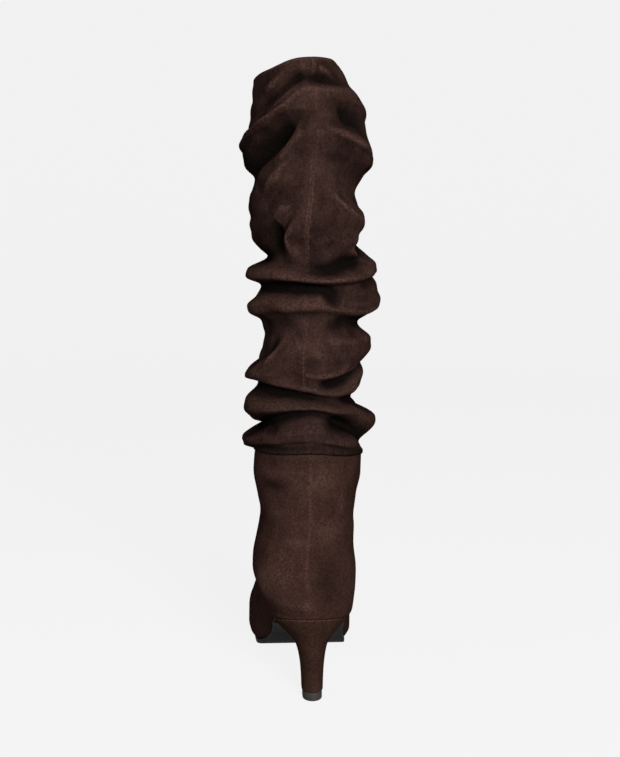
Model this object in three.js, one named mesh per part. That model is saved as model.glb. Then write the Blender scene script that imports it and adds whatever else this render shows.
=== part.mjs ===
// Slouch boot for the right foot: a low tapered heel, a smooth ankle part and a soft shaft that has slid
// down into folds. Millimetres, +Z up, the toe towards +Y and the big toe's side towards -X. The origin
// is the middle of the heel tip's tread.
//
// Heights along the foot are worked out from the feather line, where the upper meets the sole. Tables hold
// shares of the named sizes below, and each row is one section or one fold.
import * as THREE from "three";

// Last and foot.
const LAST_LENGTH = 248; // back of the counter to the toe's tip
const BALL_WIDTH = 82;
const SEAT_WIDTH = 57; // counter just above the seat, before its edge turns in
const HEEL_HEIGHT = 65; // floor to the upper's edge at the back
const TOE_SPRING = 8; // rise of the sole at the toe's tip
const EDGE_TUCK = 0.13; // share of the width by which the upper turns in at its lower edge
const EDGE_TUCK_HEIGHT = 9;

// Ankle part.
const SEAM_HEIGHT = 176; // floor to the seam between ankle part and shaft
const ANKLE_WIDTH = 66; // the narrowest place above the counter
const SEAM_WIDTH = 75.4;
const SEAM_DEPTH = 97; // back to front at the seam
const HOLLOW_DEPTH = 8; // how far the back line runs in above the counter
const ROUND_DEPTH = 45; // depth of the rounded back at the seam
const UPPER_WALL = 1.6;

// Shaft.
const SHAFT_HEIGHT = 262; // seam to the collar at the back
const CALF_WIDTH = 84;
const CALF_DEPTH = 138;
const SHAFT_WALL = 1.4;
const FOLD_DEPTH = 9; // how far the largest fold stands out
const BACK_SEAM_RISE = 0.5; // the closed seam down the back stands proud of the wall
const BACK_SEAM_ANGLE = 3.2; // degrees from the seam's ridge to its foot

// Sole, insole and heel.
const OUTSOLE_THICKNESS = 3.6;
const WAIST_THICKNESS = 2.6;
const SOLE_EDGE = 0.8; // how far the sole stands out past the upper's lower edge
const SOLE_BEVEL = 0.9;
const INSOLE_THICKNESS = 2.4;
const INSOLE_JOIN = 0.56; // share of LAST_LENGTH where the insole's stiff back part meets its forepart
const HEEL_SEAT_LENGTH = 52; // back of the counter to the heel's front face at the seat
const TIP_SETBACK = 20; // back of the counter to the heel tip's back edge
const TIP_LENGTH = 15;
const TIP_WIDTH = 13.8;
const HEEL_LIP = 0.6; // how far the covered heel stands out past its tip
const TIP_HEIGHT = 6;

const CLEARANCE = 0.3; // air between pieces that touch

// Places on the boot's long axis are counted from the back of the counter. This brings the origin to the
// middle of the heel tip.
const ORIGIN_FROM_BACK = TIP_SETBACK + TIP_LENGTH / 2;

// How finely the surfaces are divided.
const FOOT_STEPS = 21; // from the back to the front of each side of the upper
const SHAFT_COLUMNS = 38;
const SHAFT_ROWS = 48;
const ROW_GROWTH = 0.25; // how much wider than the mean the highest rows are, and narrower the lowest
const SOLE_STEPS = 34;
const INSOLE_STEPS = 14; // of each of its two parts
const HEEL_STEPS = 8;

// Height of the upper's lower edge. along: share of LAST_LENGTH. lift: share of the way from the forepart
// up to the seat. spring: share of TOE_SPRING.
const FEATHER = [
  { along: 0.0, lift: 1.0, spring: 0 },
  { along: 0.06, lift: 0.945, spring: 0 },
  { along: 0.16, lift: 0.82, spring: 0 },
  { along: 0.24, lift: 0.7, spring: 0 },
  { along: 0.36, lift: 0.445, spring: 0 },
  { along: 0.48, lift: 0.165, spring: 0 },
  { along: 0.55, lift: 0.045, spring: 0 },
  { along: 0.6, lift: 0, spring: 0 },
  { along: 0.71, lift: 0, spring: 0 },
  { along: 0.81, lift: 0, spring: 0.22 },
  { along: 1.0, lift: 0, spring: 1 },
];

// Reach of the foot to each side before its edge turns in. along: share of LAST_LENGTH. medial, on the big
// toe's side, and lateral, on the little toe's: shares of half of BALL_WIDTH from the heel's middle.
const PLAN = [
  { along: 0.0, medial: 0.69, lateral: 0.7 },
  { along: 0.14, medial: 0.69, lateral: 0.7 },
  { along: 0.23, medial: 0.67, lateral: 0.69 },
  { along: 0.32, medial: 0.7, lateral: 0.72 },
  { along: 0.42, medial: 0.8, lateral: 0.79 },
  { along: 0.52, medial: 0.95, lateral: 0.855 },
  { along: 0.61, medial: 1.06, lateral: 0.84 },
  { along: 0.68, medial: 1.085, lateral: 0.81 },
  { along: 0.74, medial: 1.03, lateral: 0.74 },
  { along: 0.8, medial: 0.915, lateral: 0.655 },
  { along: 0.86, medial: 0.755, lateral: 0.505 },
  { along: 0.92, medial: 0.58, lateral: 0.33 },
  { along: 0.97, medial: 0.455, lateral: 0.195 },
  { along: 1.0, medial: 0.4, lateral: 0.13 },
];

// Half widths from the seat up to the shaft. up: share of the way from HEEL_HEIGHT to SEAM_HEIGHT. seat,
// ankle and seam: how much of each width counts. centre: share of half of SEAM_WIDTH.
const ANKLE = [
  { up: 0.0, seat: 1.03, ankle: 0.0, seam: 0.0, centre: -0.02 },
  { up: 0.14, seat: 0.35, ankle: 0.73, seam: 0.0, centre: -0.1 },
  { up: 0.28, seat: 0.0, ankle: 1.1, seam: 0.0, centre: -0.14 },
  { up: 0.4, seat: 0.0, ankle: 1.05, seam: 0.0, centre: -0.12 },
  { up: 0.54, seat: 0.0, ankle: 1.0, seam: 0.0, centre: -0.078 },
  { up: 0.7, seat: 0.0, ankle: 0.6, seam: 0.4, centre: -0.07 },
  { up: 0.86, seat: 0.0, ankle: -0.05, seam: 1.05, centre: -0.07 },
  { up: 1.0, seat: 0.0, ankle: 0.0, seam: 1.0, centre: -0.048 },
];

// Back line of the ankle part. up: share of its height. hollow: share of HOLLOW_DEPTH. round: share of
// ROUND_DEPTH over which the back turns into the sides.
const BACK_LINE = [
  { up: 0.0, hollow: 0.38, round: 0.66 },
  { up: 0.16, hollow: 0.0, round: 0.7 },
  { up: 0.4, hollow: 0.5, round: 0.8 },
  { up: 0.6, hollow: 1.0, round: 0.88 },
  { up: 0.8, hollow: 0.85, round: 0.95 },
  { up: 1.0, hollow: 0.62, round: 1.0 },
];

// Front line from the toe's tip over vamp and instep to the seam. up: place on the line. reach: share of the
// way from the seam's front to the toe's tip. height: share of SEAM_HEIGHT. round: share of the seam's front
// half over which the ridge turns into the sides.
const FRONT_LINE = [
  { up: 0.05, reach: 1.003, height: 0.102, round: 0.25 },
  { up: 0.12, reach: 0.966, height: 0.148, round: 0.29 },
  { up: 0.22, reach: 0.865, height: 0.181, round: 0.34 },
  { up: 0.35, reach: 0.696, height: 0.239, round: 0.47 },
  { up: 0.5, reach: 0.507, height: 0.324, round: 0.64 },
  { up: 0.64, reach: 0.338, height: 0.438, round: 0.76 },
  { up: 0.76, reach: 0.189, height: 0.574, round: 0.9 },
  { up: 0.85, reach: 0.088, height: 0.71, round: 0.97 },
  { up: 0.93, reach: 0.027, height: 0.852, round: 0.99 },
  { up: 1.0, reach: 0.0, height: 1.0, round: 1.0 },
];
const TOE_EDGE_ROUND = 0.23;

// Levels of the upper between its lower edge and the seam.
const UPPER_LEVELS = [0, 0.03, 0.07, 0.13, 0.2, 0.28, 0.37, 0.47, 0.57, 0.67, 0.77, 0.88, 1];

// Shaft without its folds. up: share of SHAFT_HEIGHT. medial and lateral: share of half of CALF_WIDTH from
// the heel's middle. back and front: share of CALF_DEPTH behind and before the middle of the seam.
const SHAFT = [
  { up: 0.03, medial: 0.97, lateral: 0.88, back: 0.345, front: 0.385 },
  { up: 0.07, medial: 0.95, lateral: 0.86, back: 0.35, front: 0.395 },
  { up: 0.12, medial: 0.95, lateral: 0.8, back: 0.35, front: 0.405 },
  { up: 0.18, medial: 0.93, lateral: 0.85, back: 0.345, front: 0.42 },
  { up: 0.26, medial: 0.84, lateral: 0.87, back: 0.35, front: 0.44 },
  { up: 0.33, medial: 0.85, lateral: 0.92, back: 0.36, front: 0.47 },
  { up: 0.42, medial: 0.92, lateral: 1.02, back: 0.37, front: 0.5 },
  { up: 0.5, medial: 0.89, lateral: 0.96, back: 0.37, front: 0.52 },
  { up: 0.58, medial: 0.94, lateral: 0.83, back: 0.375, front: 0.54 },
  { up: 0.67, medial: 0.935, lateral: 0.8, back: 0.385, front: 0.56 },
  { up: 0.76, medial: 1.0, lateral: 0.9, back: 0.395, front: 0.58 },
  { up: 0.85, medial: 0.98, lateral: 0.9, back: 0.395, front: 0.59 },
  { up: 0.93, medial: 0.95, lateral: 0.66, back: 0.375, front: 0.59 },
  { up: 1.0, medial: 0.95, lateral: 0.47, back: 0.36, front: 0.58 },
];

// The collar's edge round the shaft, as shares of SHAFT_HEIGHT at the meridians below.
const MERIDIANS = [
  "front",
  "frontMedial",
  "medial",
  "backMedial",
  "back",
  "backLateral",
  "lateral",
  "frontLateral",
];
const MERIDIAN_STEP = 360 / MERIDIANS.length;
const COLLAR = [0.985, 0.98, 0.97, 0.977, 0.999, 1.005, 0.97, 0.975];

// Folds from the collar down, each with a value per meridian in the order front, front medial, medial, back
// medial, back, back lateral, lateral, front lateral. at: its height, as a share of SHAFT_HEIGHT. rise: how
// far it stands out, as a share of FOLD_DEPTH, below zero in a trough. above and below: its spread, as shares
// of SHAFT_HEIGHT.
const FOLDS = [
  {
    name: "trough under the cuff",
    at: [0.93, 0.9, 0.87, 0.905, 0.95, 0.95, 0.93, 0.925],
    rise: [-0.2, -0.2, -0.1, -0.3, -0.45, -0.2, 0, -0.2],
    above: [0.02, 0.02, 0.02, 0.02, 0.02, 0.02, 0.02, 0.02],
    below: [0.016, 0.016, 0.016, 0.016, 0.016, 0.016, 0.016, 0.016],
  },
  {
    name: "cuff fold",
    at: [0.87, 0.84, 0.782, 0.852, 0.922, 0.925, 0.9, 0.88],
    rise: [0.5, 0.7, 0.72, 0.6, 0.3, 0.35, 0.45, 0.4],
    above: [0.05, 0.045, 0.038, 0.024, 0.02, 0.02, 0.04, 0.05],
    below: [0.03, 0.035, 0.052, 0.03, 0.03, 0.03, 0.03, 0.03],
  },
  {
    name: "trough under the cuff fold",
    at: [0.81, 0.755, 0.712, 0.772, 0.85, 0.86, 0.84, 0.82],
    rise: [-0.5, -0.6, -0.45, -1.05, -0.1, -0.2, 0, -0.3],
    above: [0.03, 0.03, 0.02, 0.046, 0.03, 0.03, 0.03, 0.03],
    below: [0.03, 0.03, 0.035, 0.018, 0.03, 0.03, 0.03, 0.03],
  },
  {
    name: "calf fold",
    at: [0.745, 0.69, 0.648, 0.7, 0.79, 0.785, 0.765, 0.76],
    rise: [0.6, 0.7, 0.4, 0.45, 0.15, 0.45, 0.5, 0.6],
    above: [0.045, 0.045, 0.05, 0.045, 0.045, 0.045, 0.045, 0.045],
    below: [0.04, 0.06, 0.075, 0.045, 0.04, 0.04, 0.03, 0.04],
  },
  {
    name: "trough under the calf fold",
    at: [0.67, 0.6, 0.52, 0.55, 0.68, 0.71, 0.68, 0.66],
    rise: [-0.6, -0.7, -0.5, -0.65, -0.1, -0.25, -0.35, -0.5],
    above: [0.035, 0.035, 0.035, 0.035, 0.035, 0.035, 0.035, 0.035],
    below: [0.03, 0.03, 0.03, 0.03, 0.03, 0.03, 0.03, 0.03],
  },
  {
    name: "short fold of the little toe's side",
    at: [0.6, 0.6, 0.6, 0.615, 0.64, 0.625, 0.605, 0.6],
    rise: [0.4, 0.2, 0, 0.1, 0, 0.35, 0.3, 0.4],
    above: [0.03, 0.03, 0.03, 0.03, 0.03, 0.03, 0.03, 0.03],
    below: [0.035, 0.035, 0.035, 0.035, 0.035, 0.035, 0.035, 0.035],
  },
  {
    name: "trough over the upper middle fold",
    at: [0.54, 0.52, 0.503, 0.5, 0.48, 0.486, 0.545, 0.55],
    rise: [-0.5, -0.4, -0.6, -0.3, -0.2, -0.9, -0.6, -0.6],
    above: [0.035, 0.03, 0.02, 0.03, 0.03, 0.045, 0.04, 0.035],
    below: [0.02, 0.016, 0.016, 0.016, 0.016, 0.016, 0.02, 0.02],
  },
  {
    name: "upper middle fold",
    at: [0.475, 0.48, 0.474, 0.468, 0.456, 0.466, 0.484, 0.478],
    rise: [0.8, 0.8, 0.88, 0.65, 0.5, 0.65, 0.65, 0.7],
    above: [0.024, 0.02, 0.018, 0.018, 0.016, 0.016, 0.024, 0.024],
    below: [0.02, 0.022, 0.026, 0.018, 0.016, 0.018, 0.02, 0.02],
  },
  {
    name: "trough between the middle folds",
    at: [0.43, 0.432, 0.432, 0.431, 0.427, 0.41, 0.43, 0.43],
    rise: [-0.6, -0.6, -0.35, -0.9, -0.6, 0.3, 0.6, -0.3],
    above: [0.018, 0.016, 0.016, 0.016, 0.016, 0.018, 0.026, 0.018],
    below: [0.022, 0.024, 0.024, 0.026, 0.022, 0.022, 0.026, 0.022],
  },
  {
    name: "lower middle fold",
    at: [0.39, 0.385, 0.376, 0.388, 0.396, 0.374, 0.387, 0.395],
    rise: [0.6, 0.6, 0.7, 0.4, 0.35, 0.45, 0.6, 0.6],
    above: [0.025, 0.025, 0.022, 0.025, 0.022, 0.025, 0.025, 0.025],
    below: [0.022, 0.022, 0.024, 0.02, 0.02, 0.018, 0.016, 0.02],
  },
  {
    name: "trough under the middle folds",
    at: [0.33, 0.33, 0.33, 0.34, 0.36, 0.347, 0.335, 0.33],
    rise: [-0.6, -0.6, -0.1, -0.3, -0.25, -0.5, -0.75, -0.6],
    above: [0.025, 0.02, 0.016, 0.016, 0.016, 0.016, 0.02, 0.025],
    below: [0.025, 0.04, 0.07, 0.04, 0.022, 0.02, 0.022, 0.025],
  },
  {
    name: "long smooth bulge",
    at: [0.25, 0.225, 0.198, 0.24, 0.275, 0.285, 0.288, 0.265],
    rise: [0.7, 0.8, 0.95, 0.5, 0.4, 0.5, 0.55, 0.6],
    above: [0.025, 0.02, 0.017, 0.03, 0.03, 0.025, 0.025, 0.025],
    below: [0.035, 0.03, 0.016, 0.04, 0.045, 0.04, 0.035, 0.035],
  },
  {
    name: "short trough of the little toe's side",
    at: [0.215, 0.21, 0.2, 0.2, 0.18, 0.195, 0.232, 0.225],
    rise: [-0.1, 0, 0, 0, -0.1, -0.8, -0.3, -0.3],
    above: [0.016, 0.016, 0.016, 0.016, 0.016, 0.016, 0.016, 0.016],
    below: [0.016, 0.016, 0.016, 0.016, 0.016, 0.016, 0.016, 0.016],
  },
  {
    name: "deep trough",
    at: [0.155, 0.165, 0.176, 0.165, 0.15, 0.136, 0.135, 0.148],
    rise: [-0.6, -0.6, -0.2, -0.85, -0.9, -0.9, -0.55, -0.6],
    above: [0.022, 0.016, 0.016, 0.016, 0.016, 0.016, 0.022, 0.022],
    below: [0.016, 0.016, 0.016, 0.02, 0.018, 0.016, 0.016, 0.016],
  },
  {
    name: "upper ankle fold",
    at: [0.115, 0.12, 0.122, 0.128, 0.133, 0.12, 0.086, 0.1],
    rise: [0.7, 0.75, 0.9, 0.6, 0.45, 0.5, 1.1, 0.8],
    above: [0.022, 0.022, 0.026, 0.02, 0.02, 0.018, 0.016, 0.016],
    below: [0.02, 0.022, 0.036, 0.02, 0.016, 0.02, 0.044, 0.024],
  },
  {
    name: "trough between the ankle folds",
    at: [0.075, 0.075, 0.06, 0.094, 0.114, 0.077, 0.02, 0.06],
    rise: [-0.5, -0.6, -1.1, -0.6, -0.6, -0.9, -0.4, -0.5],
    above: [0.016, 0.016, 0.016, 0.016, 0.016, 0.016, 0.016, 0.016],
    below: [0.018, 0.018, 0.016, 0.018, 0.02, 0.024, 0.018, 0.018],
  },
  {
    name: "lower ankle fold",
    at: [0.038, 0.032, 0.02, 0.04, 0.055, 0.03, 0.01, 0.028],
    rise: [0.5, 0.6, 0.85, 0.45, 0.35, 0.25, 0, 0.4],
    above: [0.025, 0.022, 0.02, 0.025, 0.025, 0.025, 0.025, 0.025],
    below: [0.02, 0.02, 0.024, 0.02, 0.02, 0.02, 0.02, 0.02],
  },
];
const LOWEST_FOLD = 0.018; // share of SHAFT_HEIGHT over which the folds grow out of the seam
const CREST_SHAPE = 2.6; // how round a fold is, where 2 is a plain bell and more is flatter
const TROUGH_SHAPE = 1.7;
const SLOPE_STEP = 0.004; // share of SHAFT_HEIGHT to each side over which a fold's slope is taken

// Way of the back seam down the shaft. up: share of SHAFT_HEIGHT. turn: degrees from the middle of the back
// towards the little toe's side.
const SEAM_LINE = [
  { up: 0.0, turn: -3 },
  { up: 0.08, turn: -5 },
  { up: 0.18, turn: -10 },
  { up: 0.28, turn: -13.5 },
  { up: 0.38, turn: -11 },
  { up: 0.48, turn: -11.5 },
  { up: 0.56, turn: -6 },
  { up: 0.65, turn: 0 },
  { up: 0.75, turn: 2 },
  { up: 0.83, turn: 4 },
  { up: 0.91, turn: 8.5 },
  { up: 1.0, turn: 18 },
];

// Heel from the seat down. down: share of its height. back, breast and side: share of the way from the
// seat's outline to the tip's.
const HEEL = [
  { down: 0.0, back: 0.0, breast: 0.0, side: 0.0 },
  { down: 0.06, back: 0.06, breast: 0.1, side: 0.16 },
  { down: 0.14, back: 0.16, breast: 0.25, side: 0.38 },
  { down: 0.23, back: 0.3, breast: 0.44, side: 0.62 },
  { down: 0.32, back: 0.45, breast: 0.62, side: 0.79 },
  { down: 0.45, back: 0.63, breast: 0.8, side: 0.89 },
  { down: 0.65, back: 0.82, breast: 0.93, side: 0.96 },
  { down: 0.85, back: 0.95, breast: 0.985, side: 0.99 },
  { down: 1.0, back: 1.0, breast: 1.0, side: 1.0 },
];

// A smooth curve through a table's points that never overshoots them.
function curveThrough(xs, ys) {
  const last = xs.length - 1;
  const slopes = xs.slice(1).map((x, i) => (ys[i + 1] - ys[i]) / (x - xs[i]));
  const tangents = xs.map((x, i) => {
    if (i === 0) return slopes[0];
    if (i === last) return slopes[last - 1];
    const before = slopes[i - 1];
    const after = slopes[i];
    if (before * after <= 0) return 0;
    const wide = 2 * (xs[i + 1] - x) + (x - xs[i - 1]);
    const narrow = xs[i + 1] - x + 2 * (x - xs[i - 1]);
    return (wide + narrow) / (wide / before + narrow / after);
  });
  return (x) => {
    if (x <= xs[0]) return ys[0];
    if (x >= xs[last]) return ys[last];
    let i = 0;
    while (x > xs[i + 1]) i += 1;
    const span = xs[i + 1] - xs[i];
    const t = (x - xs[i]) / span;
    const s = 1 - t;
    return (
      ys[i] * s * s * (1 + 2 * t) +
      ys[i + 1] * t * t * (3 - 2 * t) +
      tangents[i] * span * t * s * s -
      tangents[i + 1] * span * t * t * s
    );
  };
}

function columnCurve(rows, place, column) {
  return curveThrough(
    rows.map((row) => row[place]),
    rows.map((row) => row[column]),
  );
}

// A curve round the shaft through one value per meridian. The angle is in degrees, 0 at the back, growing
// towards the little toe's side, and the first meridian is the front at -180.
function roundCurve(values) {
  const around = 3;
  const xs = [];
  const ys = [];
  for (let i = -around; i <= values.length + around; i += 1) {
    xs.push(-180 + i * MERIDIAN_STEP);
    ys.push(values[(i + values.length) % values.length]);
  }
  return curveThrough(xs, ys);
}

function mix(a, b, t) {
  return a + (b - a) * t;
}

function smoothstep(low, high, x) {
  const t = Math.min(1, Math.max(0, (x - low) / (high - low)));
  return t * t * (3 - 2 * t);
}

// Quarter of an ellipse: 0 at the ridge, 1 at its full depth.
function dome(share) {
  const t = Math.min(1, Math.max(0, share));
  return Math.sqrt(1 - (1 - t) * (1 - t));
}

function lengths(count, make) {
  return Array.from({ length: count }, (unused, i) => make(i));
}

// Foot and ankle.

const featherLift = columnCurve(FEATHER, "along", "lift");
const featherSpring = columnCurve(FEATHER, "along", "spring");
const FOREPART_EDGE = OUTSOLE_THICKNESS + CLEARANCE;

function featherHeight(y) {
  const along = y / LAST_LENGTH;
  const lift = featherLift(along) * (HEEL_HEIGHT - FOREPART_EDGE);
  return FOREPART_EDGE + lift + featherSpring(along) * TOE_SPRING;
}

const seamBack = BACK_LINE[BACK_LINE.length - 1].hollow * HOLLOW_DEPTH;
const seamFront = seamBack + SEAM_DEPTH;
const seamMiddle = seamBack + ROUND_DEPTH;
const seatBack = BACK_LINE[0].hollow * HOLLOW_DEPTH;

const backHollow = columnCurve(BACK_LINE, "up", "hollow");
const backRound = columnCurve(BACK_LINE, "up", "round");

function backLine(up) {
  return { y: backHollow(up) * HOLLOW_DEPTH, z: mix(featherHeight(seatBack), SEAM_HEIGHT, up) };
}

const frontRows = [
  { up: 0, reach: 1, height: featherHeight(LAST_LENGTH) / SEAM_HEIGHT, round: TOE_EDGE_ROUND },
  ...FRONT_LINE,
];
const frontReach = columnCurve(frontRows, "up", "reach");
const frontHeight = columnCurve(frontRows, "up", "height");
const frontRound = columnCurve(frontRows, "up", "round");

function frontLine(up) {
  return { y: mix(seamFront, LAST_LENGTH, frontReach(up)), z: frontHeight(up) * SEAM_HEIGHT };
}

const LINE_SAMPLES = 90;
const sampledBack = lengths(LINE_SAMPLES + 1, (i) => {
  const up = i / LINE_SAMPLES;
  return { ...backLine(up), round: backRound(up) * ROUND_DEPTH };
});
const sampledFront = lengths(LINE_SAMPLES + 1, (i) => {
  const up = i / LINE_SAMPLES;
  return { ...frontLine(up), round: frontRound(up) * (SEAM_DEPTH - ROUND_DEPTH) };
});

// Distance to a sampled line as a share of the line's own rounding depth there.
function shareFrom(line, y, z) {
  let best = Infinity;
  let share = 0;
  for (let i = 0; i + 1 < line.length; i += 1) {
    const a = line[i];
    const b = line[i + 1];
    const dy = b.y - a.y;
    const dz = b.z - a.z;
    const t = Math.min(1, Math.max(0, ((y - a.y) * dy + (z - a.z) * dz) / (dy * dy + dz * dz)));
    const gap = Math.hypot(y - a.y - dy * t, z - a.z - dz * t);
    if (gap < best) {
      best = gap;
      share = gap / mix(a.round, b.round, t);
    }
  }
  return share;
}

const planMedial = columnCurve(PLAN, "along", "medial");
const planLateral = columnCurve(PLAN, "along", "lateral");
const ankleSeat = columnCurve(ANKLE, "up", "seat");
const ankleNarrow = columnCurve(ANKLE, "up", "ankle");
const ankleSeam = columnCurve(ANKLE, "up", "seam");
const ankleCentre = columnCurve(ANKLE, "up", "centre");
const ANKLE_ENDS = 0.24; // share of LAST_LENGTH where the ankle's widths begin to give way to the foot's
const FOOT_BEGINS = 0.56;

// Middle and half width of the upper at a place on its side view.
function upperWidth(y, z) {
  const along = y / LAST_LENGTH;
  const up = (z - HEEL_HEIGHT) / (SEAM_HEIGHT - HEEL_HEIGHT);
  const foot = smoothstep(ANKLE_ENDS, FOOT_BEGINS, along);
  const ankleWidth = ankleSeat(up) * SEAT_WIDTH + ankleNarrow(up) * ANKLE_WIDTH + ankleSeam(up) * SEAM_WIDTH;
  const footHalf = ((planLateral(along) + planMedial(along)) * BALL_WIDTH) / 4;
  const footMiddle = ((planLateral(along) - planMedial(along)) * BALL_WIDTH) / 4;
  const middle = mix((ankleCentre(up) * SEAM_WIDTH) / 2, footMiddle, foot);
  const overEdge = Math.max(0, 1 - (z - featherHeight(y)) / EDGE_TUCK_HEIGHT);
  const tuck = 1 - EDGE_TUCK * overEdge * overEdge;
  const rounding = dome(shareFrom(sampledBack, y, z)) * dome(shareFrom(sampledFront, y, z));
  return { middle, half: mix(ankleWidth / 2, footHalf, foot) * tuck * rounding };
}

// A place on the side view: across from back to front, up from the lower edge to the seam. Its height blends
// the four border lines, less the plain blend of their corners.
function sidePlace(across, up) {
  const back = backLine(up);
  const front = frontLine(up);
  const lowEdge = featherHeight(mix(seatBack, LAST_LENGTH, across));
  const straightEdge = mix(featherHeight(seatBack), featherHeight(LAST_LENGTH), across);
  return {
    y: mix(back.y, front.y, across),
    z: mix(back.z, front.z, across) + (lowEdge - straightEdge) * (1 - up),
  };
}

// Shares from the back to the front of one side, close together at both ends.
const FOOT_SHARES = lengths(FOOT_STEPS + 1, (i) => (1 - Math.cos((Math.PI * i) / FOOT_STEPS)) / 2);

// One closed level of the upper, counter-clockwise seen from above: up the little toe's side to the front
// and back along the big toe's side.
function upperLevel(up) {
  const places = FOOT_SHARES.map((across) => {
    const { y, z } = sidePlace(across, up);
    return { y, z, ...upperWidth(y, z) };
  });
  const point = (place, side) =>
    new THREE.Vector3(place.middle + side * place.half, place.y - ORIGIN_FROM_BACK, place.z);
  const lateral = places.map((place) => point(place, 1));
  const medial = places.slice(1, -1).reverse().map((place) => point(place, -1));
  return [...lateral, ...medial];
}

// Meshes from rings of points.

function geometryOf(points, faces) {
  const geometry = new THREE.BufferGeometry();
  const positions = new Float32Array(points.flatMap((p) => [p.x, p.y, p.z]));
  geometry.setAttribute("position", new THREE.BufferAttribute(positions, 3));
  geometry.setIndex(faces);
  geometry.computeVertexNormals();
  return geometry;
}

// Faces between stacked rings of one size, facing out when the rings run counter-clockwise and upwards.
function wallFaces(first, rings, size, inwards) {
  const faces = [];
  for (let i = 0; i + 1 < rings; i += 1) {
    for (let j = 0; j < size; j += 1) {
      const a = first + i * size + j;
      const b = first + i * size + ((j + 1) % size);
      const c = b + size;
      const d = a + size;
      if (inwards) faces.push(a, c, b, a, d, c);
      else faces.push(a, b, c, a, c, d);
    }
  }
  return faces;
}

// A hollow wall between outer and inner rings, open inside at both ends.
function hollowWall(outer, inner) {
  const size = outer[0].length;
  const rings = outer.length;
  const points = [...outer.flat(), ...inner.flat()];
  const innerFirst = rings * size;
  const topOuter = (rings - 1) * size;
  const topInner = innerFirst + topOuter;
  const faces = [...wallFaces(0, rings, size, false), ...wallFaces(innerFirst, rings, size, true)];
  for (let j = 0; j < size; j += 1) {
    const k = (j + 1) % size;
    faces.push(j, innerFirst + j, k, innerFirst + j, innerFirst + k, k);
    faces.push(topOuter + j, topOuter + k, topInner + j, topOuter + k, topInner + k, topInner + j);
  }
  return geometryOf(points, faces);
}

// A solid from stacked rings, each of them a little toe's side from back to front and then a big toe's side
// from front to back. Strips from side to side close its two ends.
function plate(levels) {
  const size = levels[0].length;
  const sideSteps = size / 2;
  const faces = wallFaces(0, levels.length, size, false);
  const top = (levels.length - 1) * size;
  for (let i = 0; i + 1 < sideSteps; i += 1) {
    const a = i;
    const b = i + 1;
    const c = size - 2 - i;
    const d = size - 1 - i;
    faces.push(a, c, b, a, d, c);
    faces.push(top + a, top + b, top + c, top + a, top + c, top + d);
  }
  return geometryOf(levels.flat(), faces);
}

// Outward normals of a grid of rings.
function gridNormals(rings) {
  const size = rings[0].length;
  return rings.map((ring, i) =>
    ring.map((point, j) => {
      const along = new THREE.Vector3().subVectors(ring[(j + 1) % size], ring[(j + size - 1) % size]);
      const low = rings[Math.max(0, i - 1)][j];
      const high = rings[Math.min(rings.length - 1, i + 1)][j];
      const up = new THREE.Vector3().subVectors(high, low);
      return along.cross(up).normalize();
    }),
  );
}

function makeUpper() {
  const outer = UPPER_LEVELS.map(upperLevel);
  const normals = gridNormals(outer);
  const inner = outer.map((ring, i) =>
    ring.map((point, j) => {
      const normal = normals[i][j].clone();
      const isRim = i === 0 || i === outer.length - 1;
      if (isRim) normal.setZ(0).normalize();
      return point.clone().addScaledVector(normal, -UPPER_WALL);
    }),
  );
  return hollowWall(outer, inner);
}

// Shaft.

const shaftMedial = columnCurve(SHAFT, "up", "medial");
const shaftLateral = columnCurve(SHAFT, "up", "lateral");
const shaftBack = columnCurve(SHAFT, "up", "back");
const shaftFront = columnCurve(SHAFT, "up", "front");
const collarHeight = roundCurve(COLLAR);
const folds = FOLDS.map((fold) => ({
  at: roundCurve(fold.at),
  rise: roundCurve(fold.rise),
  above: roundCurve(fold.above),
  below: roundCurve(fold.below),
}));
const seamShape = upperWidth(seamMiddle, SEAM_HEIGHT);

// Half widths and depths of the smooth shaft at a share of its height. It starts on the ankle part's own
// outline.
function shaftSection(up) {
  const grown = smoothstep(0, SHAFT[0].up, up);
  return {
    medial: mix(seamShape.half - seamShape.middle, (shaftMedial(up) * CALF_WIDTH) / 2, grown),
    lateral: mix(seamShape.half + seamShape.middle, (shaftLateral(up) * CALF_WIDTH) / 2, grown),
    back: mix(ROUND_DEPTH, shaftBack(up) * CALF_DEPTH, grown),
    front: mix(SEAM_DEPTH - ROUND_DEPTH, shaftFront(up) * CALF_DEPTH, grown),
  };
}

// How far the folds move the wall at an angle and height.
function foldRise(angle, up) {
  const total = folds.reduce((sum, fold) => {
    const over = up - fold.at(angle);
    const rise = fold.rise(angle);
    const spread = over > 0 ? fold.above(angle) : fold.below(angle);
    const shape = rise > 0 ? CREST_SHAPE : TROUGH_SHAPE;
    return sum + rise * Math.exp(-(Math.abs(over / spread) ** shape));
  }, 0);
  return total * FOLD_DEPTH * smoothstep(0, LOWEST_FOLD, up);
}

const seamTurn = columnCurve(SEAM_LINE, "up", "turn");

function backSeamRise(fromSeam) {
  return BACK_SEAM_RISE * Math.max(0, 1 - Math.abs(fromSeam) / BACK_SEAM_ANGLE);
}

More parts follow.
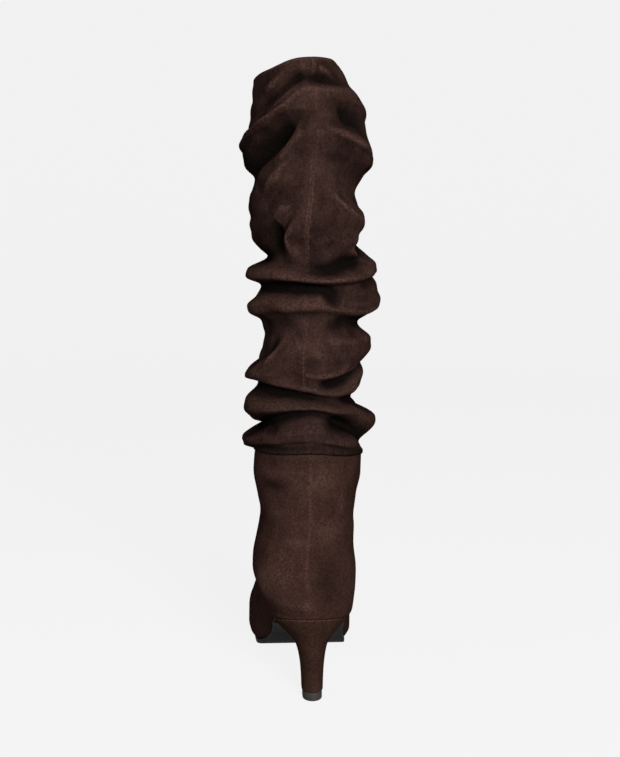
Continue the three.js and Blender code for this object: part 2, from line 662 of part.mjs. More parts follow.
// Point of the shaft's wall at an angle from the back seam and a share of the wall's own height, moved in by
// the given depth. The wall's back follows the seam's way.
function shaftPoint(fromSeam, share, depth) {
  const follows = (1 + Math.cos(THREE.MathUtils.degToRad(fromSeam))) / 2;
  const angle = fromSeam + seamTurn(share) * follows;
  const up = share * collarHeight(angle);
  const section = shaftSection(up);
  const turn = THREE.MathUtils.degToRad(angle);
  const middle = (section.lateral - section.medial) / 2;
  const half = (section.lateral + section.medial) / 2;
  const reach = Math.abs(angle) < 90 ? section.back : section.front;
  const normal = new THREE.Vector2(Math.sin(turn) * reach, -Math.cos(turn) * half).normalize();
  const climb = foldRise(angle, up + SLOPE_STEP) - foldRise(angle, up - SLOPE_STEP);
  const slope = climb / (2 * SLOPE_STEP * SHAFT_HEIGHT);
  const inset = depth * Math.hypot(1, slope);
  const out = foldRise(angle, up) + (depth > 0 ? 0 : backSeamRise(fromSeam)) - inset;
  return new THREE.Vector3(
    middle + half * Math.sin(turn) + normal.x * out,
    seamMiddle - ORIGIN_FROM_BACK - reach * Math.cos(turn) + normal.y * out,
    SEAM_HEIGHT + CLEARANCE + up * SHAFT_HEIGHT,
  );
}

// Angles round the shaft from the back seam, counter-clockwise seen from above, with the seam's two feet
// among them.
function shaftAngles() {
  const even = lengths(SHAFT_COLUMNS, (i) => -180 + ((i + 0.5) * 360) / SHAFT_COLUMNS);
  const clear = even.filter((angle) => Math.abs(angle) > 2 * BACK_SEAM_ANGLE);
  return [...clear, -BACK_SEAM_ANGLE, 0, BACK_SEAM_ANGLE].sort((a, b) => a - b);
}

function rowShare(row) {
  const share = row / SHAFT_ROWS;
  return share * (1 - ROW_GROWTH + ROW_GROWTH * share);
}

function makeShaft() {
  const angles = shaftAngles();
  const ring = (row, depth) => angles.map((angle) => shaftPoint(angle, rowShare(row), depth));
  const outer = lengths(SHAFT_ROWS + 1, (row) => ring(row, 0));
  const inner = lengths(SHAFT_ROWS + 1, (row) => ring(row, SHAFT_WALL));
  return hollowWall(outer, inner);
}

// Sole and insole.

// Steps along the foot that gather towards the back or the front, whichever end is round.
const gatherAtBack = (t) => 1 - Math.cos((Math.PI * t) / 2);
const gatherAtFront = (t) => Math.sin((Math.PI * t) / 2);

// The upper's lower edge between two places along the foot, as one side and then the other.
function edgeSides(from, to, steps, gather) {
  const places = lengths(steps + 1, (i) => {
    const y = mix(from, to, gather(i / steps));
    return { y, ...upperWidth(y, featherHeight(y)) };
  });
  return {
    lateral: places.map((p) => new THREE.Vector2(p.middle + p.half, p.y)),
    medial: places.map((p) => new THREE.Vector2(p.middle - p.half, p.y)),
  };
}

// One side's edge moved outwards. side is 1 for the little toe's side.
function movedEdge(edge, side, distance) {
  return edge.map((point, i) => {
    const before = edge[Math.max(0, i - 1)];
    const after = edge[Math.min(edge.length - 1, i + 1)];
    const along = new THREE.Vector2().subVectors(after, before).normalize();
    return new THREE.Vector2(point.x + side * along.y * distance, point.y - side * along.x * distance);
  });
}

function edgeRing(sides, distance, height) {
  const lateral = movedEdge(sides.lateral, 1, distance);
  const medial = movedEdge(sides.medial, -1, distance);
  return [...lateral, ...medial.reverse()].map(
    (point) => new THREE.Vector3(point.x, point.y - ORIGIN_FROM_BACK, height(point.y)),
  );
}

const END_MARGIN = 0.25; // the last station stops this far before a round end's tip
const THIN_FROM = 0.3; // share of LAST_LENGTH where the waist starts to thicken towards the tread
const THICK_FROM = 0.56;

function soleThickness(y) {
  return mix(WAIST_THICKNESS, OUTSOLE_THICKNESS, smoothstep(THIN_FROM, THICK_FROM, y / LAST_LENGTH));
}

function makeOutsole() {
  const sides = edgeSides(HEEL_SEAT_LENGTH + CLEARANCE, LAST_LENGTH - END_MARGIN, SOLE_STEPS, gatherAtFront);
  const top = (y) => featherHeight(y) - CLEARANCE;
  const bottom = (y) => top(y) - soleThickness(y);
  return plate([
    edgeRing(sides, SOLE_EDGE - SOLE_BEVEL, bottom),
    edgeRing(sides, SOLE_EDGE, (y) => bottom(y) + SOLE_BEVEL),
    edgeRing(sides, SOLE_EDGE, top),
  ]);
}

// The insole board is made of a stiff part for heel and waist and a flexible one for the forefoot.
function insolePlate(sides) {
  const inset = UPPER_WALL + CLEARANCE;
  return plate([
    edgeRing(sides, -inset, featherHeight),
    edgeRing(sides, -inset, (y) => featherHeight(y) + INSOLE_THICKNESS),
  ]);
}

function makeInsoleBackpart() {
  const to = INSOLE_JOIN * LAST_LENGTH;
  return insolePlate(edgeSides(seatBack + END_MARGIN, to, INSOLE_STEPS, gatherAtBack));
}

function makeInsoleForepart() {
  const from = INSOLE_JOIN * LAST_LENGTH + CLEARANCE;
  return insolePlate(edgeSides(from, LAST_LENGTH - END_MARGIN, INSOLE_STEPS, gatherAtFront));
}

// Heel and tip.

// Outline shape shared by seat and tip: places from back to front with the seat's half width there.
const SEAT_SHARES = lengths(HEEL_STEPS + 1, (i) => 1 - Math.cos(((Math.PI / 2) * i) / HEEL_STEPS));
const seatPlaces = SEAT_SHARES.map((share) => {
  const y = mix(seatBack + END_MARGIN, HEEL_SEAT_LENGTH, share);
  return { y, ...upperWidth(y, featherHeight(y)) };
});
const seatEnd = seatPlaces[seatPlaces.length - 1];
const heelTopHeight = (y) => featherHeight(y) - CLEARANCE;
const heelBottomHeight = TIP_HEIGHT + CLEARANCE;

// One level of the heel: its outline between back and front, at a height worked out for each place.
function heelRing({ back, front, half, middle, height }) {
  const places = seatPlaces.map((place, i) => ({
    y: mix(back, front, SEAT_SHARES[i]),
    half: (half * place.half) / seatEnd.half,
    seatY: place.y,
  }));
  const point = (place, side) =>
    new THREE.Vector3(middle + side * place.half, place.y - ORIGIN_FROM_BACK, height(place.seatY));
  return [...places.map((p) => point(p, 1)), ...places.reverse().map((p) => point(p, -1))];
}

const tipRing = (height) =>
  heelRing({
    back: TIP_SETBACK,
    front: TIP_SETBACK + TIP_LENGTH,
    half: TIP_WIDTH / 2,
    middle: 0,
    height: () => height,
  });

function makeHeel() {
  const rows = [...HEEL].reverse();
  return plate(
    rows.map((row) =>
      heelRing({
        back: mix(seatBack + END_MARGIN, TIP_SETBACK - HEEL_LIP, row.back),
        front: mix(HEEL_SEAT_LENGTH, TIP_SETBACK + TIP_LENGTH + HEEL_LIP, row.breast),
        half: mix(seatEnd.half, TIP_WIDTH / 2 + HEEL_LIP, row.side),
        middle: mix(seatEnd.middle, 0, row.side),
        height: (seatY) => mix(heelTopHeight(seatY), heelBottomHeight, row.down),
      }),
    ),
  );
}

function makeHeelTip() {
  return plate([tipRing(0), tipRing(TIP_HEIGHT)]);
}

// The boot.

function piece(name, geometry, material) {
  const mesh = new THREE.Mesh(geometry, new THREE.MeshStandardMaterial(material));
  mesh.name = name;
  return mesh;
}

const boot = new THREE.Group();
boot.add(
  piece("upper", makeUpper(), { color: 0x3f2d29, roughness: 0.95, metalness: 0 }),
  piece("shaft", makeShaft(), { color: 0x2c211d, roughness: 0.95, metalness: 0 }),
  piece("insole_backpart", makeInsoleBackpart(), { color: 0x8a6f56, roughness: 0.7, metalness: 0 }),
  piece("insole_forepart", makeInsoleForepart(), { color: 0x8a6f56, roughness: 0.7, metalness: 0 }),
  piece("outsole", makeOutsole(), { color: 0x2b2a2a, roughness: 0.75, metalness: 0 }),
  piece("heel", makeHeel(), { color: 0x3f2d29, roughness: 0.95, metalness: 0 }),
  piece("heel_tip", makeHeelTip(), { color: 0x4c4a49, roughness: 0.6, metalness: 0 }),
);

export default boot;
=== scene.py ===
"""Looks of the right-foot slouch boot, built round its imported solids.

Sizes are in millimetres in the classes below, as a maker writes them, and become metres when a mesh is
made. The frame is the boot's own: +Z up, +Y to the toe, +X to the little toe's side, with the origin at the
middle of the heel tip's tread.
"""
import logging
import math
from dataclasses import dataclass, field
from enum import Enum
from typing import Callable, Sequence

import bpy
import numpy as np
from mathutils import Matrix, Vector


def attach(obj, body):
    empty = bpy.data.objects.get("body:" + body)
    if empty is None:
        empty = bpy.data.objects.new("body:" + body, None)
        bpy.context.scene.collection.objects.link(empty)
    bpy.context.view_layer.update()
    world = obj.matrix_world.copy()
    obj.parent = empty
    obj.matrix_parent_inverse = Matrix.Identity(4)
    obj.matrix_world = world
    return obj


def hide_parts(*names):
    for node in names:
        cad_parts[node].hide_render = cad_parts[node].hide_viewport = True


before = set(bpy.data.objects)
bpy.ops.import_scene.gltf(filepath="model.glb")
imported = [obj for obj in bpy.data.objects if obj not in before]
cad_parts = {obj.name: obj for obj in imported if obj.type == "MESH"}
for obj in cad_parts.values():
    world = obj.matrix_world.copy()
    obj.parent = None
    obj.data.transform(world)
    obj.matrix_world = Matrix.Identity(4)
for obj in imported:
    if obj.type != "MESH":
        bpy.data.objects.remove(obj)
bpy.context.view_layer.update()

MM = 0.001
BODY = "root"
LOG = logging.getLogger("slouch_boot")

Array = np.ndarray
Color = tuple[float, float, float]
Point = tuple[float, float, float]
Values = Array | float


class Slot(Enum):
    """Material slots of the record."""

    SHAFT = "suede_shaft"
    FOOT = "suede_foot"
    HEEL = "suede_heel"
    LINING = "lining_leather"
    SOLE = "sole_rubber"
    TIP = "tip_rubber"


class Side(Enum):
    """Side of the boot, as the sign of its X."""

    MEDIAL = -1
    LATERAL = 1


# Curves and small helpers.


class SmoothCurve:
    """A smooth curve through a few points that never overshoots them."""

    def __init__(self, xs: Sequence[float], ys: Sequence[float]) -> None:
        """Works out the tangents.

        Args:
            xs: Places, growing.
            ys: Values at the places.
        """
        self.xs = np.asarray(xs, float)
        self.ys = np.asarray(ys, float)
        step = np.diff(self.xs)
        slope = np.diff(self.ys) / step
        tangent = np.concatenate([slope[:1], np.zeros(len(slope) - 1), slope[-1:]])
        for i in range(1, len(slope)):
            before, after = slope[i - 1], slope[i]
            if before * after > 0:
                wide = 2 * step[i] + step[i - 1]
                narrow = step[i] + 2 * step[i - 1]
                tangent[i] = (wide + narrow) / (wide / before + narrow / after)
        self.tangent = tangent

    def __call__(self, x: Values) -> Array:
        """Values at places along the curve, held at its ends.

        Args:
            x: The places.

        Returns:
            The values, in x's own shape.
        """
        x = np.clip(np.asarray(x, float), self.xs[0], self.xs[-1])
        i = np.clip(np.searchsorted(self.xs, x, side="right") - 1, 0, len(self.xs) - 2)
        span = self.xs[i + 1] - self.xs[i]
        t = (x - self.xs[i]) / span
        s = 1 - t
        return (
            self.ys[i] * s * s * (1 + 2 * t)
            + self.ys[i + 1] * t * t * (3 - 2 * t)
            + self.tangent[i] * span * t * s * s
            - self.tangent[i + 1] * span * t * t * s
        )


def column(rows: Sequence[tuple[float, ...]], place: int) -> SmoothCurve:
    """A curve from a table whose first column is the place along it.

    Args:
        rows: The table.
        place: Which column holds the values.

    Returns:
        The curve through that column.
    """
    return SmoothCurve([row[0] for row in rows], [row[place] for row in rows])


def round_curve(values: Sequence[float]) -> SmoothCurve:
    """A curve round the shaft through one value per meridian.

    Args:
        values: Values from the front at -180 degrees on, evenly spaced round the shaft.

    Returns:
        The curve over degrees, a little past a full turn at both ends.
    """
    count = len(values)
    extra = 3
    places = [-180 + i * 360 / count for i in range(-extra, count + extra + 1)]
    return SmoothCurve(places, [values[i % count] for i in range(-extra, count + extra + 1)])


def mix(a: Values, b: Values, t: Values) -> Array:
    """Blend of a and b by t."""
    return a + (b - a) * t


def smoothstep(low: float, high: float, x: Values) -> Array:
    """0 below low, 1 above high and a soft step between them."""
    t = np.clip((np.asarray(x, float) - low) / (high - low), 0, 1)
    return t * t * (3 - 2 * t)


def dome(share: Array) -> Array:
    """Quarter of an ellipse: 0 at the ridge and 1 at its full depth."""
    t = np.clip(share, 0, 1)
    return np.sqrt(1 - (1 - t) ** 2)


# The boot's forms.


@dataclass
class FootForm:
    """Foot and ankle: last, sole edge and the upper's surface. Lengths in millimetres."""

    last_length: float = 248.0
    ball_width: float = 82.0
    seat_width: float = 57.0
    heel_height: float = 65.0
    toe_spring: float = 8.0
    edge_tuck: float = 0.13
    edge_tuck_height: float = 9.0
    seam_height: float = 176.0
    ankle_width: float = 66.0
    seam_width: float = 75.4
    seam_depth: float = 97.0
    counter_hollow: float = 8.0
    counter_round: float = 45.0
    outsole_thickness: float = 3.6
    clearance: float = 0.3
    tip_setback: float = 20.0
    tip_length: float = 15.0
    # Share of the length, lift towards the seat and share of the toe spring.
    feather: tuple[tuple[float, ...], ...] = (
        (0.0, 1.0, 0), (0.06, 0.945, 0), (0.16, 0.82, 0), (0.24, 0.7, 0), (0.36, 0.445, 0), (0.48, 0.165, 0),
        (0.55, 0.045, 0), (0.6, 0, 0), (0.71, 0, 0), (0.81, 0, 0.22), (1.0, 0, 1),
    )
    # Share of the length, reach to the big toe's side and to the little toe's, as shares of half the ball.
    plan: tuple[tuple[float, ...], ...] = (
        (0.0, 0.69, 0.7), (0.14, 0.69, 0.7), (0.23, 0.67, 0.69), (0.32, 0.7, 0.72), (0.42, 0.8, 0.79),
        (0.52, 0.95, 0.855), (0.61, 1.06, 0.84), (0.68, 1.085, 0.81), (0.74, 1.03, 0.74), (0.8, 0.915, 0.655),
        (0.86, 0.755, 0.505), (0.92, 0.58, 0.33), (0.97, 0.455, 0.195), (1.0, 0.4, 0.13),
    )
    # Share of the height to the seam, how much the seat, ankle and seam widths count, and the middle.
    ankle: tuple[tuple[float, ...], ...] = (
        (0.0, 1.03, 0.0, 0.0, -0.02), (0.14, 0.35, 0.73, 0.0, -0.1), (0.28, 0.0, 1.1, 0.0, -0.14),
        (0.4, 0.0, 1.05, 0.0, -0.12), (0.54, 0.0, 1.0, 0.0, -0.078), (0.7, 0.0, 0.6, 0.4, -0.07),
        (0.86, 0.0, -0.05, 1.05, -0.07), (1.0, 0.0, 0.0, 1.0, -0.048),
    )
    # Share of the height, hollow and rounding of the back line.
    back_line: tuple[tuple[float, ...], ...] = (
        (0.0, 0.38, 0.66), (0.16, 0.0, 0.7), (0.4, 0.5, 0.8), (0.6, 1.0, 0.88), (0.8, 0.85, 0.95),
        (1.0, 0.62, 1.0),
    )
    # Place on the front line, reach to the toe, share of the seam's height and rounding of the ridge.
    front_line: tuple[tuple[float, ...], ...] = (
        (0.05, 1.003, 0.102, 0.25), (0.12, 0.966, 0.148, 0.29), (0.22, 0.865, 0.181, 0.34),
        (0.35, 0.696, 0.239, 0.47), (0.5, 0.507, 0.324, 0.64), (0.64, 0.338, 0.438, 0.76),
        (0.76, 0.189, 0.574, 0.9), (0.85, 0.088, 0.71, 0.97), (0.93, 0.027, 0.852, 0.99),
        (1.0, 0.0, 1.0, 1.0),
    )
    toe_edge_round: float = 0.23
    # How far the seam between ankle part and shaft lies over its level, by meridian as in the folds.
    seam_rise: tuple[float, ...] = (0.0, 0.0, 0.5, 1.6, 3.6, 0.2, -2.0, -1.2)
    seam_rise_from: float = 0.8
    ankle_ends: float = 0.24
    foot_begins: float = 0.56
    line_samples: int = 120

    def __post_init__(self) -> None:
        """Builds the curves from the tables."""
        self.origin_from_back = self.tip_setback + self.tip_length / 2
        self.forepart_edge = self.outsole_thickness + self.clearance
        self._lift, self._spring = column(self.feather, 1), column(self.feather, 2)
        self._medial, self._lateral = column(self.plan, 1), column(self.plan, 2)
        self._widths = [column(self.ankle, i) for i in range(1, 5)]
        self._hollow, self._back_round = column(self.back_line, 1), column(self.back_line, 2)
        toe = (0.0, 1.0, float(self.feather_height(self.last_length)) / self.seam_height, self.toe_edge_round)
        rows = (toe, *self.front_line)
        self._front = [column(rows, i) for i in range(1, 4)]
        self.seam_back = self.back_line[-1][1] * self.counter_hollow
        self.seat_back = self.back_line[0][1] * self.counter_hollow
        self.seam_front = self.seam_back + self.seam_depth
        self.seam_middle = self.seam_back + self.counter_round
        up = np.linspace(0, 1, self.line_samples + 1)
        self._back_points = (*self.back_at(up), self._back_round(up) * self.counter_round)
        ridge = self._front[2](up) * (self.seam_depth - self.counter_round)
        self._front_points = (*self.front_at(up), ridge)
        self.seam_shift = round_curve(self.seam_rise)

    def feather_height(self, y: Values) -> Array:
        """Height of the upper's lower edge.

        Args:
            y: Places from the counter's back.

        Returns:
            The heights over the floor.
        """
        along = np.asarray(y, float) / self.last_length
        rise = self._lift(along) * (self.heel_height - self.forepart_edge)
        return self.forepart_edge + rise + self._spring(along) * self.toe_spring

    def back_at(self, up: Array) -> tuple[Array, Array]:
        """Place of the back line at a share of its height."""
        seat = self.feather_height(self.back_line[0][1] * self.counter_hollow)
        return self._hollow(up) * self.counter_hollow, mix(seat, self.seam_height, up)

    def front_at(self, up: Array) -> tuple[Array, Array]:
        """Place of the front line between the toe's tip and the seam."""
        reach = mix(self.seam_front, self.last_length, self._front[0](up))
        return reach, self._front[1](up) * self.seam_height

    @staticmethod
    def _share_from(line: tuple[Array, Array, Array], y: Array, z: Array) -> Array:
        """Distance to a line as a share of its rounding depth there.

        Args:
            line: The line's places and rounding depths.
            y: Places along the boot.
            z: Heights.

        Returns:
            The shares, in y's own shape.
        """
        ly, lz, depth = line
        flat_y, flat_z = y.ravel(), z.ravel()
        best = np.full(flat_y.shape, np.inf)
        share = np.zeros(flat_y.shape)
        for i in range(len(ly) - 1):
            dy, dz = ly[i + 1] - ly[i], lz[i + 1] - lz[i]
            t = np.clip(((flat_y - ly[i]) * dy + (flat_z - lz[i]) * dz) / (dy * dy + dz * dz), 0, 1)
            gap = np.hypot(flat_y - ly[i] - dy * t, flat_z - lz[i] - dz * t)
            nearer = gap < best
            best = np.where(nearer, gap, best)
            share = np.where(nearer, gap / mix(depth[i], depth[i + 1], t), share)
        return share.reshape(y.shape)

    def width(self, y: Array, z: Array) -> tuple[Array, Array]:
        """Middle and half width of the upper at places of its side view.

        Args:
            y: Places from the counter's back.
            z: Heights.

        Returns:
            The middles and the half widths.
        """
        along = y / self.last_length
        up = (z - self.heel_height) / (self.seam_height - self.heel_height)
        foot = smoothstep(self.ankle_ends, self.foot_begins, along)
        seat, ankle, seam, centre = (curve(up) for curve in self._widths)
        ankle_half = (seat * self.seat_width + ankle * self.ankle_width + seam * self.seam_width) / 2
        foot_half = (self._lateral(along) + self._medial(along)) * self.ball_width / 4
        foot_middle = (self._lateral(along) - self._medial(along)) * self.ball_width / 4
        middle = mix(centre * self.seam_width / 2, foot_middle, foot)
        over_edge = np.maximum(0, 1 - (z - self.feather_height(y)) / self.edge_tuck_height)
        tuck = 1 - self.edge_tuck * over_edge**2
        rounding = dome(self._share_from(self._back_points, y, z))
        rounding = rounding * dome(self._share_from(self._front_points, y, z))
        return middle, mix(ankle_half, foot_half, foot) * tuck * rounding

    def side_place(self, across: Array, up: Array) -> tuple[Array, Array]:
        """Places on the side view.

        Args:
            across: Shares of the way from the back line to the front line.
            up: Shares of the way up from the lower edge.

        Returns:
            Places from the counter's back and heights.
        """
        back_y, back_z = self.back_at(up)
        front_y, front_z = self.front_at(up)
        low_edge = self.feather_height(mix(self.seat_back, self.last_length, across))
        straight = mix(self.feather_height(self.seat_back), self.feather_height(self.last_length), across)
        return mix(back_y, front_y, across), mix(back_z, front_z, across) + (low_edge - straight) * (1 - up)


@dataclass(frozen=True)
class Fold:
    """One fold or trough round the shaft.

    Each has a value per meridian: front, front medial, medial, back medial, back, back lateral, lateral and
    front lateral. at is its height, above and below its spread, all as shares of the shaft's height, and rise
    is a share of the fold depth.
    """

    name: str
    at: tuple[float, ...]
    rise: tuple[float, ...]
    above: tuple[float, ...]
    below: tuple[float, ...]


FOLDS = (
    Fold(
        "trough under the cuff",
        at=(0.93, 0.9, 0.87, 0.905, 0.95, 0.95, 0.93, 0.925),
        rise=(-0.2, -0.2, -0.1, -0.3, -0.45, -0.2, 0, -0.2),
        above=(0.02,) * 8,
        below=(0.015,) * 8,
    ),
    Fold(
        "cuff fold",
        at=(0.87, 0.84, 0.782, 0.852, 0.922, 0.925, 0.9, 0.88),
        rise=(0.5, 0.7, 0.72, 0.6, 0.3, 0.35, 0.45, 0.4),
        above=(0.05, 0.045, 0.038, 0.024, 0.02, 0.02, 0.04, 0.05),
        below=(0.03, 0.035, 0.052, 0.03, 0.03, 0.03, 0.03, 0.03),
    ),
    Fold(
        "trough under the cuff fold",
        at=(0.81, 0.755, 0.712, 0.772, 0.85, 0.86, 0.84, 0.82),
        rise=(-0.5, -0.6, -0.45, -1.05, -0.1, -0.2, 0, -0.3),
        above=(0.03, 0.03, 0.02, 0.046, 0.03, 0.03, 0.03, 0.03),
        below=(0.03, 0.03, 0.035, 0.018, 0.03, 0.03, 0.03, 0.03),
    ),
    Fold(
        "calf fold",
        at=(0.745, 0.69, 0.648, 0.7, 0.79, 0.785, 0.765, 0.76),
        rise=(0.6, 0.7, 0.3, 0.45, 0.15, 0.45, 0.5, 0.6),
        above=(0.045, 0.045, 0.05, 0.045, 0.045, 0.045, 0.045, 0.045),
        below=(0.04, 0.06, 0.075, 0.045, 0.04, 0.04, 0.03, 0.04),
    ),
    Fold(
        "trough under the calf fold",
        at=(0.67, 0.6, 0.52, 0.55, 0.68, 0.71, 0.68, 0.66),
        rise=(-0.6, -0.7, -0.4, -0.65, -0.1, -0.25, -0.25, -0.5),
        above=(0.035, 0.035, 0.035, 0.035, 0.035, 0.035, 0.035, 0.035),
        below=(0.03, 0.03, 0.03, 0.03, 0.03, 0.03, 0.03, 0.03),
    ),
    Fold(
        "short fold of the little toe's side",
        at=(0.6, 0.6, 0.6, 0.615, 0.64, 0.625, 0.605, 0.6),
        rise=(0.4, 0.2, 0, 0.1, 0, 0.35, 0.3, 0.4),
        above=(0.03,) * 8,
        below=(0.035,) * 8,
    ),
    Fold(
        "trough over the upper middle fold",
        at=(0.54, 0.52, 0.503, 0.5, 0.48, 0.486, 0.545, 0.55),
        rise=(-0.5, -0.4, -0.6, -0.3, -0.2, -0.9, -0.6, -0.6),
        above=(0.035, 0.03, 0.02, 0.03, 0.03, 0.045, 0.04, 0.035),
        below=(0.02, 0.016, 0.012, 0.016, 0.014, 0.013, 0.02, 0.02),
    ),
    Fold(
        "upper middle fold",
        at=(0.475, 0.48, 0.474, 0.468, 0.456, 0.466, 0.484, 0.478),
        rise=(0.8, 0.8, 0.88, 0.65, 0.5, 0.65, 0.65, 0.7),
        above=(0.024, 0.02, 0.018, 0.018, 0.016, 0.016, 0.024, 0.024),
        below=(0.02, 0.022, 0.026, 0.018, 0.016, 0.018, 0.02, 0.02),
    ),
    Fold(
        "trough between the middle folds",
        at=(0.43, 0.432, 0.432, 0.431, 0.427, 0.41, 0.43, 0.43),
        rise=(-0.6, -0.6, -0.35, -0.9, -0.6, 0.3, 0.4, -0.3),
        above=(0.018, 0.016, 0.013, 0.013, 0.012, 0.018, 0.026, 0.018),
        below=(0.022, 0.024, 0.024, 0.026, 0.022, 0.022, 0.026, 0.022),
    ),
    Fold(
        "lower middle fold",
        at=(0.39, 0.385, 0.376, 0.388, 0.396, 0.374, 0.387, 0.395),
        rise=(0.6, 0.6, 0.7, 0.4, 0.35, 0.4, 0.5, 0.6),
        above=(0.025, 0.025, 0.022, 0.025, 0.022, 0.025, 0.025, 0.025),
        below=(0.022, 0.022, 0.024, 0.02, 0.02, 0.018, 0.014, 0.02),
    ),
    Fold(
        "trough under the middle folds",
        at=(0.33, 0.33, 0.33, 0.34, 0.36, 0.347, 0.335, 0.33),
        rise=(-0.6, -0.6, -0.1, -0.3, -0.25, -0.5, -0.75, -0.6),
        above=(0.025, 0.02, 0.014, 0.016, 0.012, 0.012, 0.02, 0.025),
        below=(0.025, 0.04, 0.07, 0.04, 0.022, 0.02, 0.022, 0.025),
    ),
    Fold(
        "long smooth bulge",
        at=(0.25, 0.225, 0.198, 0.24, 0.275, 0.285, 0.288, 0.265),
        rise=(0.7, 0.8, 0.95, 0.5, 0.4, 0.5, 0.55, 0.6),
        above=(0.025, 0.02, 0.017, 0.03, 0.03, 0.025, 0.025, 0.025),
        below=(0.035, 0.03, 0.013, 0.04, 0.045, 0.04, 0.035, 0.035),
    ),
    Fold(
        "short trough of the little toe's side",
        at=(0.215, 0.21, 0.2, 0.2, 0.18, 0.195, 0.232, 0.225),
        rise=(-0.1, 0, 0, 0, -0.1, -0.8, -0.3, -0.3),
        above=(0.013,) * 8,
        below=(0.015,) * 8,
    ),
    Fold(
        "deep trough",
        at=(0.155, 0.165, 0.176, 0.165, 0.15, 0.136, 0.135, 0.148),
        rise=(-0.6, -0.6, -0.2, -0.85, -0.9, -0.9, -0.55, -0.6),
        above=(0.022, 0.016, 0.012, 0.012, 0.012, 0.013, 0.022, 0.022),
        below=(0.015, 0.016, 0.016, 0.02, 0.018, 0.016, 0.015, 0.015),
    ),
    Fold(
        "upper ankle fold",
        at=(0.115, 0.12, 0.122, 0.128, 0.133, 0.12, 0.086, 0.1),
        rise=(0.7, 0.75, 0.9, 0.6, 0.45, 0.5, 1.1, 0.8),
        above=(0.022, 0.022, 0.034, 0.02, 0.02, 0.018, 0.012, 0.016),
        below=(0.02, 0.022, 0.034, 0.02, 0.016, 0.02, 0.044, 0.024),
    ),
    Fold(
        "trough between the ankle folds",
        at=(0.075, 0.075, 0.06, 0.094, 0.114, 0.077, 0.02, 0.06),
        rise=(-0.5, -0.6, -1.1, -0.6, -0.6, -0.9, -0.4, -0.5),
        above=(0.015, 0.013, 0.011, 0.011, 0.01, 0.014, 0.015, 0.015),
        below=(0.018, 0.018, 0.014, 0.018, 0.02, 0.024, 0.018, 0.018),
    ),
    Fold(
        "lower ankle fold",
        at=(0.038, 0.032, 0.016, 0.04, 0.055, 0.03, 0.01, 0.028),
        rise=(0.5, 0.6, 0.85, 0.45, 0.35, 0.25, 0.0, 0.4),
        above=(0.025, 0.022, 0.016, 0.025, 0.025, 0.025, 0.025, 0.025),
        below=(0.02, 0.02, 0.024, 0.02, 0.02, 0.02, 0.02, 0.02),
    ),
)


@dataclass(frozen=True)
class Crease:
    """A short ridge or furrow on the shaft, through three or more given points.

    points are (degrees from the middle of the back, share of the shaft's height). rise is in millimetres,
    below zero for a furrow, which also gets painted shade. left and right are its spread in millimetres on
    either side of its way. tone above zero is painted light on lit fold surfaces and below zero painted shade,
    beyond what the rise does.
    """

    name: str
    points: tuple[tuple[float, float], ...]
    rise: float
    left: float
    right: float
    tone: float = 0.0
